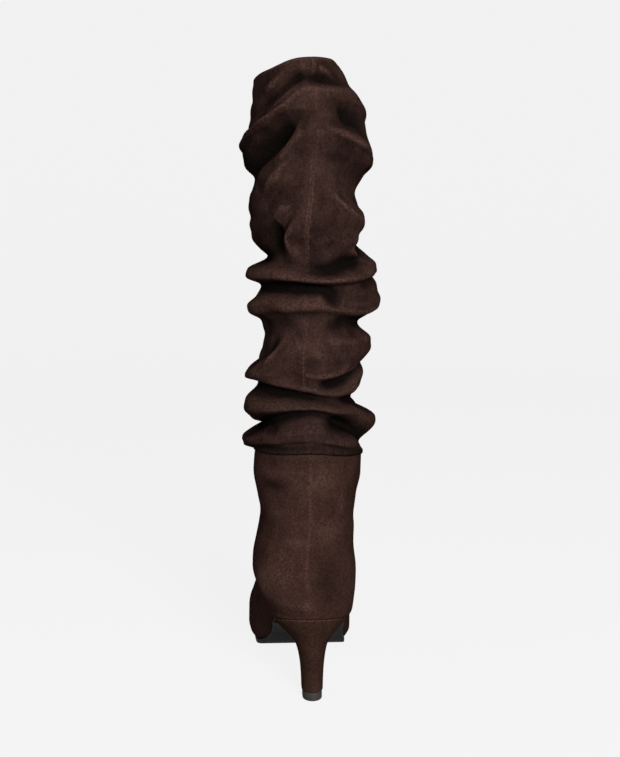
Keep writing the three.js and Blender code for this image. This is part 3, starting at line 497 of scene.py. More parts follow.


# Furrows and tones below zero lay painted shade; ridges paint a line of lighter nap, partly rubbed and partly
# painted highlight; tones above zero paint light.
CREASES = (
    Crease(
        "edge of the cuff fold",
        ((-150, 0.77), (-85, 0.808), (-54, 0.84), (-25, 0.882), (2, 0.926), (56, 0.924)), 4.0, 1.1, 2.6,
    ),
    Crease("shadow under the cuff", ((0, 0.936), (20, 0.942), (46, 0.943)), -2.7, 3.0, 2.0),
    Crease(
        "cuff's hollow",
        ((-175, 0.735), (-88, 0.758), (-52, 0.775), (-12, 0.85)), -0.8, 11.0, 11.0, -1.2,
    ),
    Crease("deep end of the cuff's hollow", ((-56, 0.772), (-34, 0.795), (-15, 0.84)), -3.0, 5.0, 4.5),
    Crease("right edge of the cuff's hollow", ((-32, 0.748), (-21, 0.79), (-10, 0.85)), 3.2, 2.2, 6.0),
    Crease("small ridge in the cuff's hollow", ((-27, 0.87), (-14, 0.876), (0, 0.877)), 1.5, 2.0, 2.0),
    Crease("light slant on the cuff", ((-57, 0.91), (-39, 0.938), (-20, 0.97)), 2, 4.0, 4.0),
    Crease("dent beside the cuff's slant", ((-14, 0.92), (-8, 0.95), (-5, 0.985)), -1.4, 4.0, 4.0),
    Crease("ridge of the collar's corner", ((18, 0.98), (32, 0.965), (50, 0.94)), 1.5, 2.5, 2.5),
    Crease("slanted dent of the calf", ((28, 0.885), (38, 0.856), (64, 0.835)), -3.4, 6.0, 5.0),
    Crease("slanted ridge of the calf", ((14, 0.832), (30, 0.812), (48, 0.792), (85, 0.77)), 3.8, 5.0, 2.0),
    Crease("dent under the calf's ridge", ((11, 0.762), (25, 0.757), (40, 0.741)), -2, 4.0, 5.0),
    Crease("calf fold's edge", ((-54, 0.662), (-34, 0.712), (-18, 0.756)), 2.6, 3.0, 3.5),
    Crease("bump of the calf", ((-36, 0.622), (-28, 0.631), (-20, 0.636)), 2.2, 3.5, 4.0),
    Crease("dent over the bump", ((-32, 0.643), (-26, 0.65), (-20, 0.655)), -1.4, 3.0, 3.0),
    Crease("long hollow of the calf", ((-42, 0.495), (-41, 0.555), (-45, 0.61)), -5.6, 13.0, 4.5),
    Crease("shadow left of the long hollow", ((-84, 0.5), (-66, 0.54), (-62, 0.6)), -0.6, 9.0, 9.0, -0.7),
    Crease("right edge of the long hollow", ((-28, 0.505), (-27, 0.555), (-17, 0.6)), 2.8, 2.0, 5.0),
    Crease("dent right of the seam", ((9, 0.667), (15, 0.656), (22, 0.645)), -1.7, 5.0, 5.0),
    Crease("short ridge right of the seam", ((22, 0.675), (35, 0.636), (62, 0.6)), 3.4, 3.5, 1.6),
    Crease("flat dent over the middle", ((-2, 0.579), (12, 0.573), (27, 0.585)), -1.7, 4.0, 4.0),
    Crease("low dent over the middle", ((9, 0.53), (16, 0.537), (26, 0.548)), -1.5, 3.5, 3.5),
    Crease("flap's ridge", ((45, 0.532), (56, 0.515), (72, 0.498)), 2.7, 3.0, 2.0),
    Crease("lip over the pocket", ((-20, 0.462), (6, 0.455), (28, 0.461), (56, 0.48)), 3.0, 1.2, 3.0),
    Crease("light left of the lip", ((-86, 0.482), (-50, 0.474), (-16, 0.466)), 0.4, 3.0, 2.5, 0.5),
    Crease("pocket over the lip", ((-10, 0.469), (10, 0.468), (34, 0.478)), -4.2, 5.0, 1.4),
    Crease(
        "lower edge of the upper middle fold",
        ((-72, 0.449), (-30, 0.446), (-4, 0.441), (24, 0.43)), -3.4, 1.3, 3.5,
    ),
    Crease("pocket under the middle fold", ((4, 0.424), (13, 0.405), (24, 0.392)), -4.4, 5.0, 4.0),
    Crease(
        "light under the middle fold's shadow",
        ((-70, 0.405), (-34, 0.402), (0, 0.39)), 0.3, 3.0, 4.0, 0.35,
    ),
    Crease("ridge under the pocket", ((4, 0.394), (13, 0.382), (24, 0.377)), 2, 1.8, 3.0),
    Crease("line under the lower middle fold", ((-31, 0.361), (-16, 0.367), (3, 0.365)), -1.4, 1.6, 2.5),
    Crease("dent of the bulge", ((6, 0.342), (21, 0.334), (36, 0.348)), -2.2, 4.0, 4.0),
    Crease("long slanted ridge", ((-54, 0.222), (-44, 0.262), (-33, 0.308)), 3.1, 2.6, 2.4),
    Crease("dent beside the slanted ridge", ((-60, 0.255), (-50, 0.288), (-42, 0.315)), -1.5, 4.0, 3.0),
    Crease("small slant at the seam", ((-25, 0.314), (-20, 0.296), (-15, 0.278)), 1.2, 1.6, 1.6),
    Crease("wide dent of the bulge", ((-13, 0.275), (1, 0.238), (12, 0.222)), -1.9, 5.0, 5.0),
    Crease("lower edge of the bulge", ((-18, 0.222), (4, 0.205), (27, 0.212), (50, 0.243)), 2.8, 3.5, 1.3),
    Crease("furrow under the bulge", ((2, 0.188), (26, 0.187), (54, 0.213)), -4.6, 1.8, 4.0),
    Crease(
        "deep line over the ankle",
        ((-66, 0.18), (-26, 0.162), (4, 0.152), (34, 0.139)), -3.1, 1.3, 3.5,
    ),
    Crease(
        "line between the ankle folds",
        ((-50, 0.096), (-20, 0.112), (4, 0.114), (34, 0.094)), -2.4, 1.3, 2.5,
    ),
    Crease("wide hollow at the ankle", ((8, 0.078), (34, 0.076), (66, 0.062)), -5.0, 3.5, 6.0),
    Crease("small pocket at the ankle", ((-56, 0.068), (-44, 0.066), (-34, 0.064)), -2.7, 2.5, 3.0),
    Crease(
        "shadow over the hem",
        ((-150, 0.012), (-70, 0.012), (-30, 0.01), (20, 0.004)), -0.8, 2.4, 2.4, -0.9,
    ),
    Crease(
        "light on the ankle fold",
        ((-74, 0.128), (-36, 0.138), (8, 0.132), (34, 0.118)), 0.3, 3.0, 3.0, 0.3,
    ),
    Crease("lowest ridge", ((8, 0.036), (24, 0.028), (46, 0.018)), 1.5, 2.0, 2.0),
)

# The back seam's way down the shaft: share of its height, then degrees from the middle of the back.
SEAM_LINE = (
    (0.0, -3.0), (0.08, -5.0), (0.18, -10.0), (0.28, -13.5), (0.38, -11.0), (0.48, -11.5), (0.56, -6.0),
    (0.65, 0.0), (0.75, 2.0), (0.83, 4.0), (0.91, 8.5), (1.0, 18.0),
)


@dataclass
class ShaftForm:
    """The slouched shaft's surface. Lengths in millimetres."""

    foot: FootForm
    height: float = 262.0
    calf_width: float = 84.0
    calf_depth: float = 138.0
    wall: float = 1.4
    fold_depth: float = 9.0
    lowest_fold: float = 0.007
    droop: float = 0.12
    droop_level: float = 3.0
    crest_shape: float = 3.6
    trough_shape: float = 2.1
    arc: float = 0.75
    # Width and full rise of the ridges' line of lighter nap, partly rubbed nap and partly painted highlight;
    # then the spread of painted shade and painted light round a crease, and the depth of full painted shade.
    rub_and_highlight_width: float = 1.2
    full_rub_and_highlight: float = 3.4
    shade_width: float = 1.3
    full_shade: float = 4.5
    samples_per_knot: int = 6
    taper_ends: float = 0.05
    # Share of the height, reach to both sides as shares of half the calf, then behind and before the middle.
    sections: tuple[tuple[float, ...], ...] = (
        (0.03, 0.97, 0.88, 0.345, 0.385), (0.07, 0.95, 0.86, 0.35, 0.395), (0.12, 0.95, 0.8, 0.35, 0.405),
        (0.18, 0.93, 0.85, 0.345, 0.42), (0.26, 0.84, 0.87, 0.35, 0.44), (0.33, 0.85, 0.92, 0.36, 0.47),
        (0.42, 0.92, 1.02, 0.37, 0.5), (0.5, 0.89, 0.96, 0.37, 0.52), (0.58, 0.94, 0.83, 0.375, 0.54),
        (0.67, 0.935, 0.8, 0.385, 0.56), (0.76, 1.0, 0.9, 0.395, 0.58), (0.85, 0.98, 0.9, 0.395, 0.59),
        (0.93, 0.95, 0.69, 0.375, 0.59), (1.0, 0.95, 0.5, 0.36, 0.58),
    )
    collar: tuple[float, ...] = (0.985, 0.98, 0.97, 0.977, 0.999, 1.005, 0.97, 0.975)
    shift_ends: float = 0.06

    def __post_init__(self) -> None:
        """Builds the curves from the tables."""
        self._reach = [column(self.sections, i) for i in range(1, 5)]
        self.collar_height = round_curve(self.collar)
        self.seam_turn = column(SEAM_LINE, 1)
        self._folds = [
            tuple(round_curve(values) for values in (fold.at, fold.rise, fold.above, fold.below))
            for fold in FOLDS
        ]
        place = np.array([self.foot.seam_middle])
        middle, half = self.foot.width(place, np.array([self.foot.seam_height]))
        self._seam = (float(middle[0]), float(half[0]))

    def base(self, angle: Array, up: Array) -> tuple[Array, Array, Array, Array]:
        """The smooth shaft's outline and outward normal.

        Args:
            angle: Degrees from the back seam.
            up: Shares of the shaft's height.

        Returns:
            X, Y and the normal's X and Y.
        """
        grown = smoothstep(0, self.sections[0][0], up)
        middle0, half0 = self._seam
        medial = mix(half0 - middle0, self._reach[0](up) * self.calf_width / 2, grown)
        lateral = mix(half0 + middle0, self._reach[1](up) * self.calf_width / 2, grown)
        back = mix(self.foot.counter_round, self._reach[2](up) * self.calf_depth, grown)
        seam_front = self.foot.seam_depth - self.foot.counter_round
        front = mix(seam_front, self._reach[3](up) * self.calf_depth, grown)
        turn = np.radians(angle)
        middle, half = (lateral - medial) / 2, (lateral + medial) / 2
        depth = np.where(np.abs(angle) < 90, back, front)
        nx, ny = np.sin(turn) * depth, -np.cos(turn) * half
        length = np.hypot(nx, ny)
        y = self.foot.seam_middle - self.foot.origin_from_back - depth * np.cos(turn)
        return middle + half * np.sin(turn), y, nx / length, ny / length

    def folds(self, angle: Array, up: Array) -> Array:
        """The folds and troughs.

        Args:
            angle: Degrees from the middle of the back.
            up: Shares of the shaft's height.

        Returns:
            How far they move the wall out, in millimetres.
        """
        total = np.zeros(np.broadcast(angle, up).shape)
        for at, rise, above, below in self._folds:
            over = up - at(angle)
            spread = np.where(over > 0, above(angle), below(angle))
            height = rise(angle)
            shape = np.where(height > 0, self.crest_shape, self.trough_shape)
            total += height * np.exp(-(np.abs(over / spread) ** shape))
        return total * self.fold_depth * smoothstep(0, self.lowest_fold, up)

    def _against(self, crease: Crease, x: Array, z: Array) -> tuple[Array, Array, Array]:
        """Where places lie against a crease's way.

        Args:
            crease: The crease.
            x: Millimetres round the shaft from the middle of its back.
            z: Millimetres up the shaft.

        Returns:
            Distance from the way, share of the way, and a value above zero on its left side.
        """
        knots = np.array(crease.points) * (self.arc, self.height)
        ways = np.linspace(0, 1, len(knots))
        share = np.linspace(0, 1, self.samples_per_knot * len(knots))
        path_x, path_z = SmoothCurve(ways, knots[:, 0])(share), SmoothCurve(ways, knots[:, 1])(share)
        gap = np.full(x.shape, np.inf)
        along, turn = np.zeros(x.shape), np.zeros(x.shape)
        for i in range(len(share) - 1):
            dx, dz = path_x[i + 1] - path_x[i], path_z[i + 1] - path_z[i]
            px, pz = x - path_x[i], z - path_z[i]
            t = np.clip((px * dx + pz * dz) / (dx * dx + dz * dz), 0, 1)
            away = np.hypot(px - dx * t, pz - dz * t)
            nearer = away < gap
            gap = np.where(nearer, away, gap)
            along = np.where(nearer, share[i] + t / (len(share) - 1), along)
            turn = np.where(nearer, dx * pz - dz * px, turn)
        return gap, along, turn

    def creases(self, angle: Array, up: Array) -> tuple[Array, Array, Array]:
        """The short creases.

        Args:
            angle: Degrees from the middle of the back.
            up: Shares of the shaft's height.

        Returns:
            How far they move the wall out, in millimetres, how much they paint the nap lighter, as rubbed nap
            and painted highlight, and how much painted shade they lay.
        """
        x, z = np.broadcast_arrays(angle * self.arc, up * self.height)
        total, rub, shade = (np.zeros(x.shape) for _ in range(3))
        for crease in CREASES:
            gap, along, turn = self._against(crease, x, z)
            taper = np.sin(np.pi * np.clip(along, self.taper_ends, 1 - self.taper_ends))
            spread = np.where(turn > 0, crease.left, crease.right)
            total += crease.rise * taper * np.exp(-((gap / spread) ** 2))
            wide = np.exp(-((gap / (self.shade_width * spread)) ** 2))
            # Ridges paint a line of lighter nap, partly rubbed nap and partly painted highlight; furrows and
            # tones below zero lay painted shade; tones above zero paint light.
            if crease.rise > 0:
                line = np.exp(-((gap / self.rub_and_highlight_width) ** 2))
                rub = np.maximum(rub, min(1.0, crease.rise / self.full_rub_and_highlight) * taper * line)
            else:
                shade = np.maximum(shade, min(1.0, -crease.rise / self.full_shade) * taper * wide)
            rub = np.maximum(rub, crease.tone * taper * wide)
            shade = np.maximum(shade, np.minimum(1, -crease.tone * taper * wide))
        return total, rub, shade


# Meshes.


@dataclass
class MeshSpec:
    """Vertices, faces and what goes with them, before they become a Blender mesh."""

    points: Array
    faces: list[tuple[int, ...]]
    material_of_face: Array | None = None
    values: dict[str, Array] = field(default_factory=dict)


def grid_faces(first: int, rows: int, size: int, inwards: bool) -> list[tuple[int, ...]]:
    """Quads between stacked closed rings.

    Args:
        first: Index of the first vertex.
        rows: How many rings.
        size: Vertices in a ring, counter-clockwise seen from above.
        inwards: Whether the faces look to the inside.

    Returns:
        The quads.
    """
    i, j = np.meshgrid(np.arange(rows - 1), np.arange(size), indexing="ij")
    a = first + i * size + j
    b = first + i * size + (j + 1) % size
    quad = (a, a + size, b + size, b) if inwards else (a, b, b + size, a + size)
    return [tuple(face) for face in np.stack([q.ravel() for q in quad], 1).tolist()]


def closed_wall(rings: Array, lined_from: int, masks: dict[str, Array]) -> MeshSpec:
    """A hollow wall from rings that run up its outside, over its rim and down its inside.

    Args:
        rings: The rings, shaped rings by columns by three.
        lined_from: First ring of the lined inside.
        masks: Values of the rings from the first on. The rings past them get zero.

    Returns:
        The wall, with material 1 on its lined faces.
    """
    count, size = rings.shape[:2]
    faces = grid_faces(0, count, size, False)
    last = (count - 1) * size
    faces += [(last + j, last + (j + 1) % size, (j + 1) % size, j) for j in range(size)]
    material_of_face = np.zeros(len(faces), int)
    material_of_face[lined_from * size:] = 1
    values = {}
    for key, mask in masks.items():
        value = np.zeros((count, size))
        value[:len(mask)] = mask
        values[key] = value.ravel()
    return MeshSpec(rings.reshape(-1, 3), faces, material_of_face, values)


def plate_caps(first: int, size: int, upwards: bool) -> list[tuple[int, ...]]:
    """Strips from side to side that close a ring made of one side and then the other.

    Args:
        first: Index of the ring's first vertex.
        size: Vertices in the ring.
        upwards: Whether the strips look up.

    Returns:
        The quads.
    """
    faces: list[tuple[int, ...]] = []
    for i in range(size // 2 - 1):
        quad = (first + i, first + i + 1, first + size - 2 - i, first + size - 1 - i)
        faces.append(quad if upwards else quad[::-1])
    return faces


def stacked_plate(rings: Sequence[Array], values: dict[str, Array] | None = None) -> MeshSpec:
    """A closed solid form from stacked rings, each made of one side and then the other.

    Args:
        rings: The rings, from the lowest up.
        values: Values of the vertices by name.

    Returns:
        The form.
    """
    size = len(rings[0])
    faces = grid_faces(0, len(rings), size, False)
    faces += plate_caps(0, size, False) + plate_caps((len(rings) - 1) * size, size, True)
    return MeshSpec(np.concatenate(rings), faces, None, values or {})


def build_object(
    name: str, spec: MeshSpec, materials: Sequence[bpy.types.Material]
) -> bpy.types.Object:
    """Makes a smooth-shaded piece that rides on the boot's body.

    Args:
        name: The piece's name.
        spec: Its mesh, in millimetres.
        materials: Its materials, in the order of spec.material_of_face.

    Returns:
        The new object.
    """
    mesh = bpy.data.meshes.new(name)
    mesh.from_pydata((spec.points * MM).tolist(), [], spec.faces)
    for material in materials:
        mesh.materials.append(material)
    if spec.material_of_face is not None:
        mesh.polygons.foreach_set("material_index", spec.material_of_face.astype(np.int32))
    for key, value in spec.values.items():
        layer = mesh.attributes.new(key, "FLOAT", "POINT")
        layer.data.foreach_set("value", value.astype(np.float32))
    mesh.polygons.foreach_set("use_smooth", np.ones(len(mesh.polygons), bool))
    mesh.update()
    piece = bpy.data.objects.new(name, mesh)
    bpy.context.scene.collection.objects.link(piece)
    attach(piece, BODY)
    LOG.info("%s: %d faces", name, len(mesh.polygons))
    return piece


def ring_normals(rings: Array) -> Array:
    """Outward normals of a grid of closed rings.

    Args:
        rings: The grid, shaped rows by columns by three.

    Returns:
        Unit normals in the same shape.
    """
    along = np.roll(rings, -1, axis=1) - np.roll(rings, 1, axis=1)
    up = np.empty_like(rings)
    up[1:-1] = rings[2:] - rings[:-2]
    up[0], up[-1] = rings[1] - rings[0], rings[-1] - rings[-2]
    normal = np.cross(along, up)
    return normal / np.maximum(np.linalg.norm(normal, axis=2, keepdims=True), 1e-9)


# Materials.


class Nodes:
    """Small helper that adds and links shader nodes of one tree."""

    def __init__(self, tree: bpy.types.NodeTree) -> None:
        """Starts with an empty tree."""
        self.tree = tree
        tree.nodes.clear()

    def add(
        self, kind: str, inputs: dict[str | int, object] | None = None, **settings: object
    ) -> bpy.types.Node:
        """Adds a node.

        Args:
            kind: The node's type name.
            inputs: Values or sockets for its inputs, by name or number.
            settings: Properties of the node.

        Returns:
            The node.
        """
        node = self.tree.nodes.new(kind)
        for key, value in settings.items():
            setattr(node, key, value)
        for key, value in (inputs or {}).items():
            if isinstance(value, bpy.types.NodeSocket):
                self.tree.links.new(value, node.inputs[key])
            else:
                node.inputs[key].default_value = value
        return node

    def math(self, operation: str, a: object, b: object = 0.0, c: object = 0.0) -> bpy.types.NodeSocket:
        """Output of a Math node."""
        node = self.add("ShaderNodeMath", {0: a, 1: b, 2: c}, operation=operation)
        return node.outputs[0]

    def noise(self, vector: object, scale: object, detail: float, rough: float) -> bpy.types.NodeSocket:
        """Value of a noise texture."""
        inputs = {"Vector": vector, "Scale": scale, "Detail": detail, "Roughness": rough}
        return self.add("ShaderNodeTexNoise", inputs).outputs[0]

    def remap(
        self, value: object, low: float, high: float, to_low: float = 0.0, to_high: float = 1.0
    ) -> bpy.types.NodeSocket:
        """A value stretched from one range to another and held there."""
        inputs = {0: value, 1: low, 2: high, 3: to_low, 4: to_high}
        return self.add("ShaderNodeMapRange", inputs, clamp=True).outputs[0]

    def blend(self, factor: object, a: object, b: object, how: str = "MIX") -> bpy.types.NodeSocket:
        """Colour mixed from two others.

        Args:
            factor: How much of the second.
            a: The first colour.
            b: The second.
            how: Blend type.

        Returns:
            The mixed colour.
        """
        node = self.add("ShaderNodeMix", data_type="RGBA", blend_type=how)
        for socket, value in ((node.inputs[0], factor), (node.inputs[6], a), (node.inputs[7], b)):
            if isinstance(value, bpy.types.NodeSocket):
                self.tree.links.new(value, socket)
            else:
                socket.default_value = value
        return node.outputs[2]


def rgba(color: Color) -> tuple[float, float, float, float]:
    """The colour with full alpha."""
    return (*color, 1.0)


def new_group(
    name: str, inputs: Sequence[tuple[str, str, object]], outputs: Sequence[tuple[str, str]]
) -> tuple[bpy.types.NodeTree, Nodes, bpy.types.Node]:
    """Starts a shader node group.

    Args:
        name: The group's name.
        inputs: Name, socket type and value of each input.
        outputs: Name and socket type of each output.

    Returns:
        The group, its helper and its input node.
    """
    tree = bpy.data.node_groups.new(name, "ShaderNodeTree")
    for label, kind, value in inputs:
        tree.interface.new_socket(label, in_out="INPUT", socket_type=kind).default_value = value
    for label, kind in outputs:
        tree.interface.new_socket(label, in_out="OUTPUT", socket_type=kind)
    nodes = Nodes(tree)
    return tree, nodes, nodes.add("NodeGroupInput")


# Scales of the noise textures, per metre, and how much the nap's strokes are drawn out downwards.
STROKE_SCALE = 95.0
SPECK_SCALE = 650.0
FIBRE_SCALE = 2600.0
DUST_SCALE = 60.0
STROKE_STRETCH = (1.0, 1.0, 0.45)


class SharedEffects:
    """Node groups that more than one material uses."""

    def __init__(self) -> None:
        """Builds the groups once."""
        self.nap = self._make_nap()
        self.grain = self._make_grain()

    @staticmethod
    def _make_nap() -> bpy.types.NodeTree:
        """Brushed suede: cloudy patches, fine fibres, crests lighter from rubbed nap and painted highlight,
        and painted shade in furrows.

        Returns:
            The group.
        """
        tree, nodes, given = new_group(
            "Suede nap",
            [
                ("Base", "NodeSocketColor", (0.05, 0.03, 0.02, 1)),
                ("Rubbed", "NodeSocketColor", (0.1, 0.06, 0.05, 1)),
                ("Shaded", "NodeSocketColor", (0.02, 0.01, 0.01, 1)),
                ("Crest", "NodeSocketFloat", 0.0),
                ("Furrow", "NodeSocketFloat", 0.0),
                ("Cloud size", "NodeSocketFloat", 28.0),
                ("Cloud contrast", "NodeSocketFloat", 0.5),
                ("Fibre depth", "NodeSocketFloat", 1.0),
            ],
            [("Color", "NodeSocketColor"), ("Roughness", "NodeSocketFloat"), ("Height", "NodeSocketFloat")],
        )
        place = nodes.add("ShaderNodeTexCoord").outputs["Object"]
        clouds = nodes.noise(place, given.outputs["Cloud size"], 3.0, 0.6)
        drift = nodes.add("ShaderNodeMapping", {"Vector": place, "Scale": STROKE_STRETCH}).outputs[0]
        strokes = nodes.noise(drift, STROKE_SCALE, 4.0, 0.6)
        specks = nodes.noise(place, SPECK_SCALE, 3.0, 0.65)
        fibres = nodes.noise(drift, FIBRE_SCALE, 2.0, 0.6)
        cloud_mask = nodes.remap(clouds, 0.34, 0.68)
        stroke_mask = nodes.remap(strokes, 0.36, 0.66)
        clouded = nodes.math("MULTIPLY", cloud_mask, 0.6)
        both = nodes.math("ADD", clouded, nodes.math("MULTIPLY", stroke_mask, 0.4))
        lift = nodes.math("MULTIPLY", both, given.outputs["Cloud contrast"])
        toned = nodes.blend(lift, given.outputs["Base"], given.outputs["Rubbed"])
        # Crests take the Rubbed colour, rubbed nap and partly painted highlight; furrows take the Shaded
        # colour, which is painted shade.
        broken = nodes.math("MULTIPLY", given.outputs["Crest"], nodes.remap(specks, 0.3, 0.62, 0.35, 1.0))
        crested = nodes.blend(broken, toned, given.outputs["Rubbed"])
        sunk = nodes.blend(given.outputs["Furrow"], crested, given.outputs["Shaded"])
        speckle = nodes.remap(specks, 0.28, 0.72, 0.58, 1.42)
        fleck = nodes.remap(fibres, 0.25, 0.75, 0.86, 1.12)
        tone = nodes.math("MULTIPLY", speckle, fleck)
        grey = nodes.add("ShaderNodeCombineColor", {0: tone, 1: tone, 2: tone}).outputs[0]
        color = nodes.blend(1.0, sunk, grey, "MULTIPLY")
        rough = nodes.remap(both, 0.0, 1.0, 0.98, 0.86)
        fine = nodes.math("ADD", nodes.math("MULTIPLY", specks, 0.7), nodes.math("MULTIPLY", fibres, 0.3))
        soft = nodes.math("ADD", nodes.math("MULTIPLY", strokes, 0.8), fine)
        height = nodes.math("MULTIPLY", soft, given.outputs["Fibre depth"])
        nodes.add("NodeGroupOutput", {"Color": color, "Roughness": rough, "Height": height})
        return tree

    @staticmethod
    def _make_grain() -> bpy.types.NodeTree:
        """Fine moulded grain with dust, for rubber and lining.

        Returns:
            The group.
        """
        tree, nodes, given = new_group(
            "Fine grain",
            [
                ("Base", "NodeSocketColor", (0.02, 0.02, 0.02, 1)),
                ("Dust", "NodeSocketColor", (0.2, 0.18, 0.16, 1)),
                ("Dust amount", "NodeSocketFloat", 0.2),
                ("Grain size", "NodeSocketFloat", 900.0),
            ],
            [("Color", "NodeSocketColor"), ("Roughness", "NodeSocketFloat"), ("Height", "NodeSocketFloat")],
        )
        place = nodes.add("ShaderNodeTexCoord").outputs["Object"]
        grains = nodes.noise(place, given.outputs["Grain size"], 3.0, 0.6)
        patches = nodes.noise(place, DUST_SCALE, 5.0, 0.65)
        dusty = nodes.math("MULTIPLY", nodes.remap(patches, 0.42, 0.72), given.outputs["Dust amount"])
        color = nodes.blend(dusty, given.outputs["Base"], given.outputs["Dust"])
        rough = nodes.remap(grains, 0.3, 0.7, 0.55, 0.85)
        nodes.add("NodeGroupOutput", {"Color": color, "Roughness": rough, "Height": grains})
        return tree


@dataclass(frozen=True)
class SuedeFinish:
    """Dark brown suede with a brushed nap, painted shade in furrows and lighter crests, partly painted
    highlight.
    """

    name: str
    base: Color
    rubbed: Color
    shaded: Color
    cloud_size: float = 28.0
    cloud_contrast: float = 0.5
    fibre_depth: float = 1.0
    bump_mm: float = 0.35
    bump_strength: float = 0.7

    def build(self, effects: SharedEffects) -> bpy.types.Material:
        """Makes the material.

        Args:
            effects: The shared node groups.

        Returns:
            The material.
        """
        material = bpy.data.materials.new(self.name)
        material.use_nodes = True
        nodes = Nodes(material.node_tree)
        crest = nodes.add("ShaderNodeAttribute", attribute_name="crest").outputs["Fac"]
        furrow = nodes.add("ShaderNodeAttribute", attribute_name="furrow").outputs["Fac"]
        nap = nodes.add(
            "ShaderNodeGroup",
            {
                "Base": rgba(self.base), "Rubbed": rgba(self.rubbed), "Shaded": rgba(self.shaded),
                "Crest": crest, "Furrow": furrow, "Cloud size": self.cloud_size,
                "Cloud contrast": self.cloud_contrast, "Fibre depth": self.fibre_depth,
            },
            node_tree=effects.nap,
        )
        bump = nodes.add(
            "ShaderNodeBump",
            {"Height": nap.outputs["Height"], "Strength": self.bump_strength, "Distance": self.bump_mm * MM},
        )
        shader = nodes.add(
            "ShaderNodeBsdfPrincipled",
            {
                "Base Color": nap.outputs["Color"], "Roughness": nap.outputs["Roughness"],
                "Normal": bump.outputs[0], "Specular IOR Level": 0.0,
            },
        )
        nodes.add("ShaderNodeOutputMaterial", {"Surface": shader.outputs[0]})
        return material


@dataclass(frozen=True)
class GrainFinish:
    """Rubber or lining with a fine grain."""

    name: str
    base: Color
    dust: Color
    dust_amount: float = 0.2
    grain_size: float = 900.0
    bump_mm: float = 0.1
    bump_strength: float = 0.5
    specular: float = 0.3

    def build(self, effects: SharedEffects) -> bpy.types.Material:
        """Makes the material.

        Args:
            effects: The shared node groups.

        Returns:
            The material.
        """
        material = bpy.data.materials.new(self.name)
        material.use_nodes = True
        nodes = Nodes(material.node_tree)
        grain = nodes.add(
            "ShaderNodeGroup",
            {
                "Base": rgba(self.base), "Dust": rgba(self.dust), "Dust amount": self.dust_amount,
                "Grain size": self.grain_size,
            },
            node_tree=effects.grain,
        )
        bump = nodes.add(
            "ShaderNodeBump",
            {"Height": grain.outputs["Height"], "Strength": self.bump_strength, "Distance": self.bump_mm * MM},
        )
        shader = nodes.add(
            "ShaderNodeBsdfPrincipled",
            {
                "Base Color": grain.outputs["Color"], "Roughness": grain.outputs["Roughness"],
                "Normal": bump.outputs[0], "Specular IOR Level": self.specular,
            },
        )
        nodes.add("ShaderNodeOutputMaterial", {"Surface": shader.outputs[0]})
        return material


# base is the nap's colour; rubbed lightens cloudy patches and crests, where it is partly painted highlight;
# shaded is painted shade in furrows and hollows.
SHAFT_SUEDE = SuedeFinish(
    "Shaft suede",
    base=(0.0024, 0.0012, 0.001),
    rubbed=(0.0125, 0.0064, 0.0052),
    shaded=(0.0009, 0.0007, 0.0006),
    cloud_size=26.0,
    cloud_contrast=0.62,
)
FOOT_SUEDE = SuedeFinish(
    "Foot suede",
    base=(0.0045, 0.0021, 0.00165),
    rubbed=(0.0125, 0.0064, 0.005),
    shaded=(0.002, 0.0011, 0.0009),
    cloud_size=30.0,
    cloud_contrast=0.45,
)
HEEL_SUEDE = SuedeFinish(
    "Heel suede",
    base=(0.0048, 0.0023, 0.0017),
    rubbed=(0.0125, 0.0064, 0.0048),
    shaded=(0.0024, 0.0013, 0.001),
    cloud_size=45.0,
    cloud_contrast=0.4,
)
LINING = GrainFinish("Lining", base=(0.2, 0.13, 0.085), dust=(0.3, 0.22, 0.16), dust_amount=0.3)
SOLE_RUBBER = GrainFinish(
    "Sole rubber",
    base=(0.0022, 0.0022, 0.0023),
    dust=(0.012, 0.011, 0.01),
    dust_amount=0.25,
    specular=0.02,
)
TIP_RUBBER = GrainFinish(
    "Tip rubber",
    base=(0.0042, 0.0038, 0.0034),
    dust=(0.014, 0.0125, 0.011),
    dust_amount=0.4,
    specular=0.05,
)


# Sub-assemblies.


@dataclass
class BackSeam:
    """The closed seam down the boot's back: a low band with a fine groove along its middle."""

    half_width: float = 1.9
    rise: float = 0.45
    groove_width: float = 0.35
    groove_depth: float = 0.3
    pucker_length: float = 3.4
    pucker_rise: float = 0.07
    edge_width: float = 0.7
    rub: float = 0.62
    # Length and phase of the slow waves that break up the rubbing of the left edge, right edge and middle.
    rub_waves: tuple[tuple[float, float], ...] = ((13.0, 0.6), (19.0, -1.1), (23.0, 2.0))

    def relief(self, across: Array, along: Array) -> Array:
        """How far the seam stands out.

        Args:
            across: Distance from the seam's middle, in millimetres.
            along: Distance along it.

        Returns:
            The relief in millimetres.
        """
        band = self.rise * np.exp(-((np.abs(across) / self.half_width) ** 4))
        groove = self.groove_depth * np.exp(-((across / self.groove_width) ** 2))
        near = np.exp(-((across / (2.2 * self.half_width)) ** 2))
        pucker = self.pucker_rise * near * np.cos(2 * np.pi * along / self.pucker_length)
        return band - groove + pucker

    def rubbed(self, across: Array, along: Array) -> Array:
        """How much the band's two edges and its middle are rubbed light.

        Args:
            across: Distance from the seam's middle, in millimetres.
            along: Distance along it.

        Returns:
            The mask, from 0 to 1.
        """
        edge = 0.7 * self.half_width
        left, right, middle = (0.5 + 0.5 * np.sin(along / size + phase) for size, phase in self.rub_waves)
        left = np.exp(-(((across + edge) / self.edge_width) ** 2)) * left
        right = np.exp(-(((across - edge) / self.edge_width) ** 2)) * right
        middle = 0.5 * np.exp(-((across / self.half_width) ** 2)) * middle
        return self.rub * np.clip(left + right + middle, 0, 1)


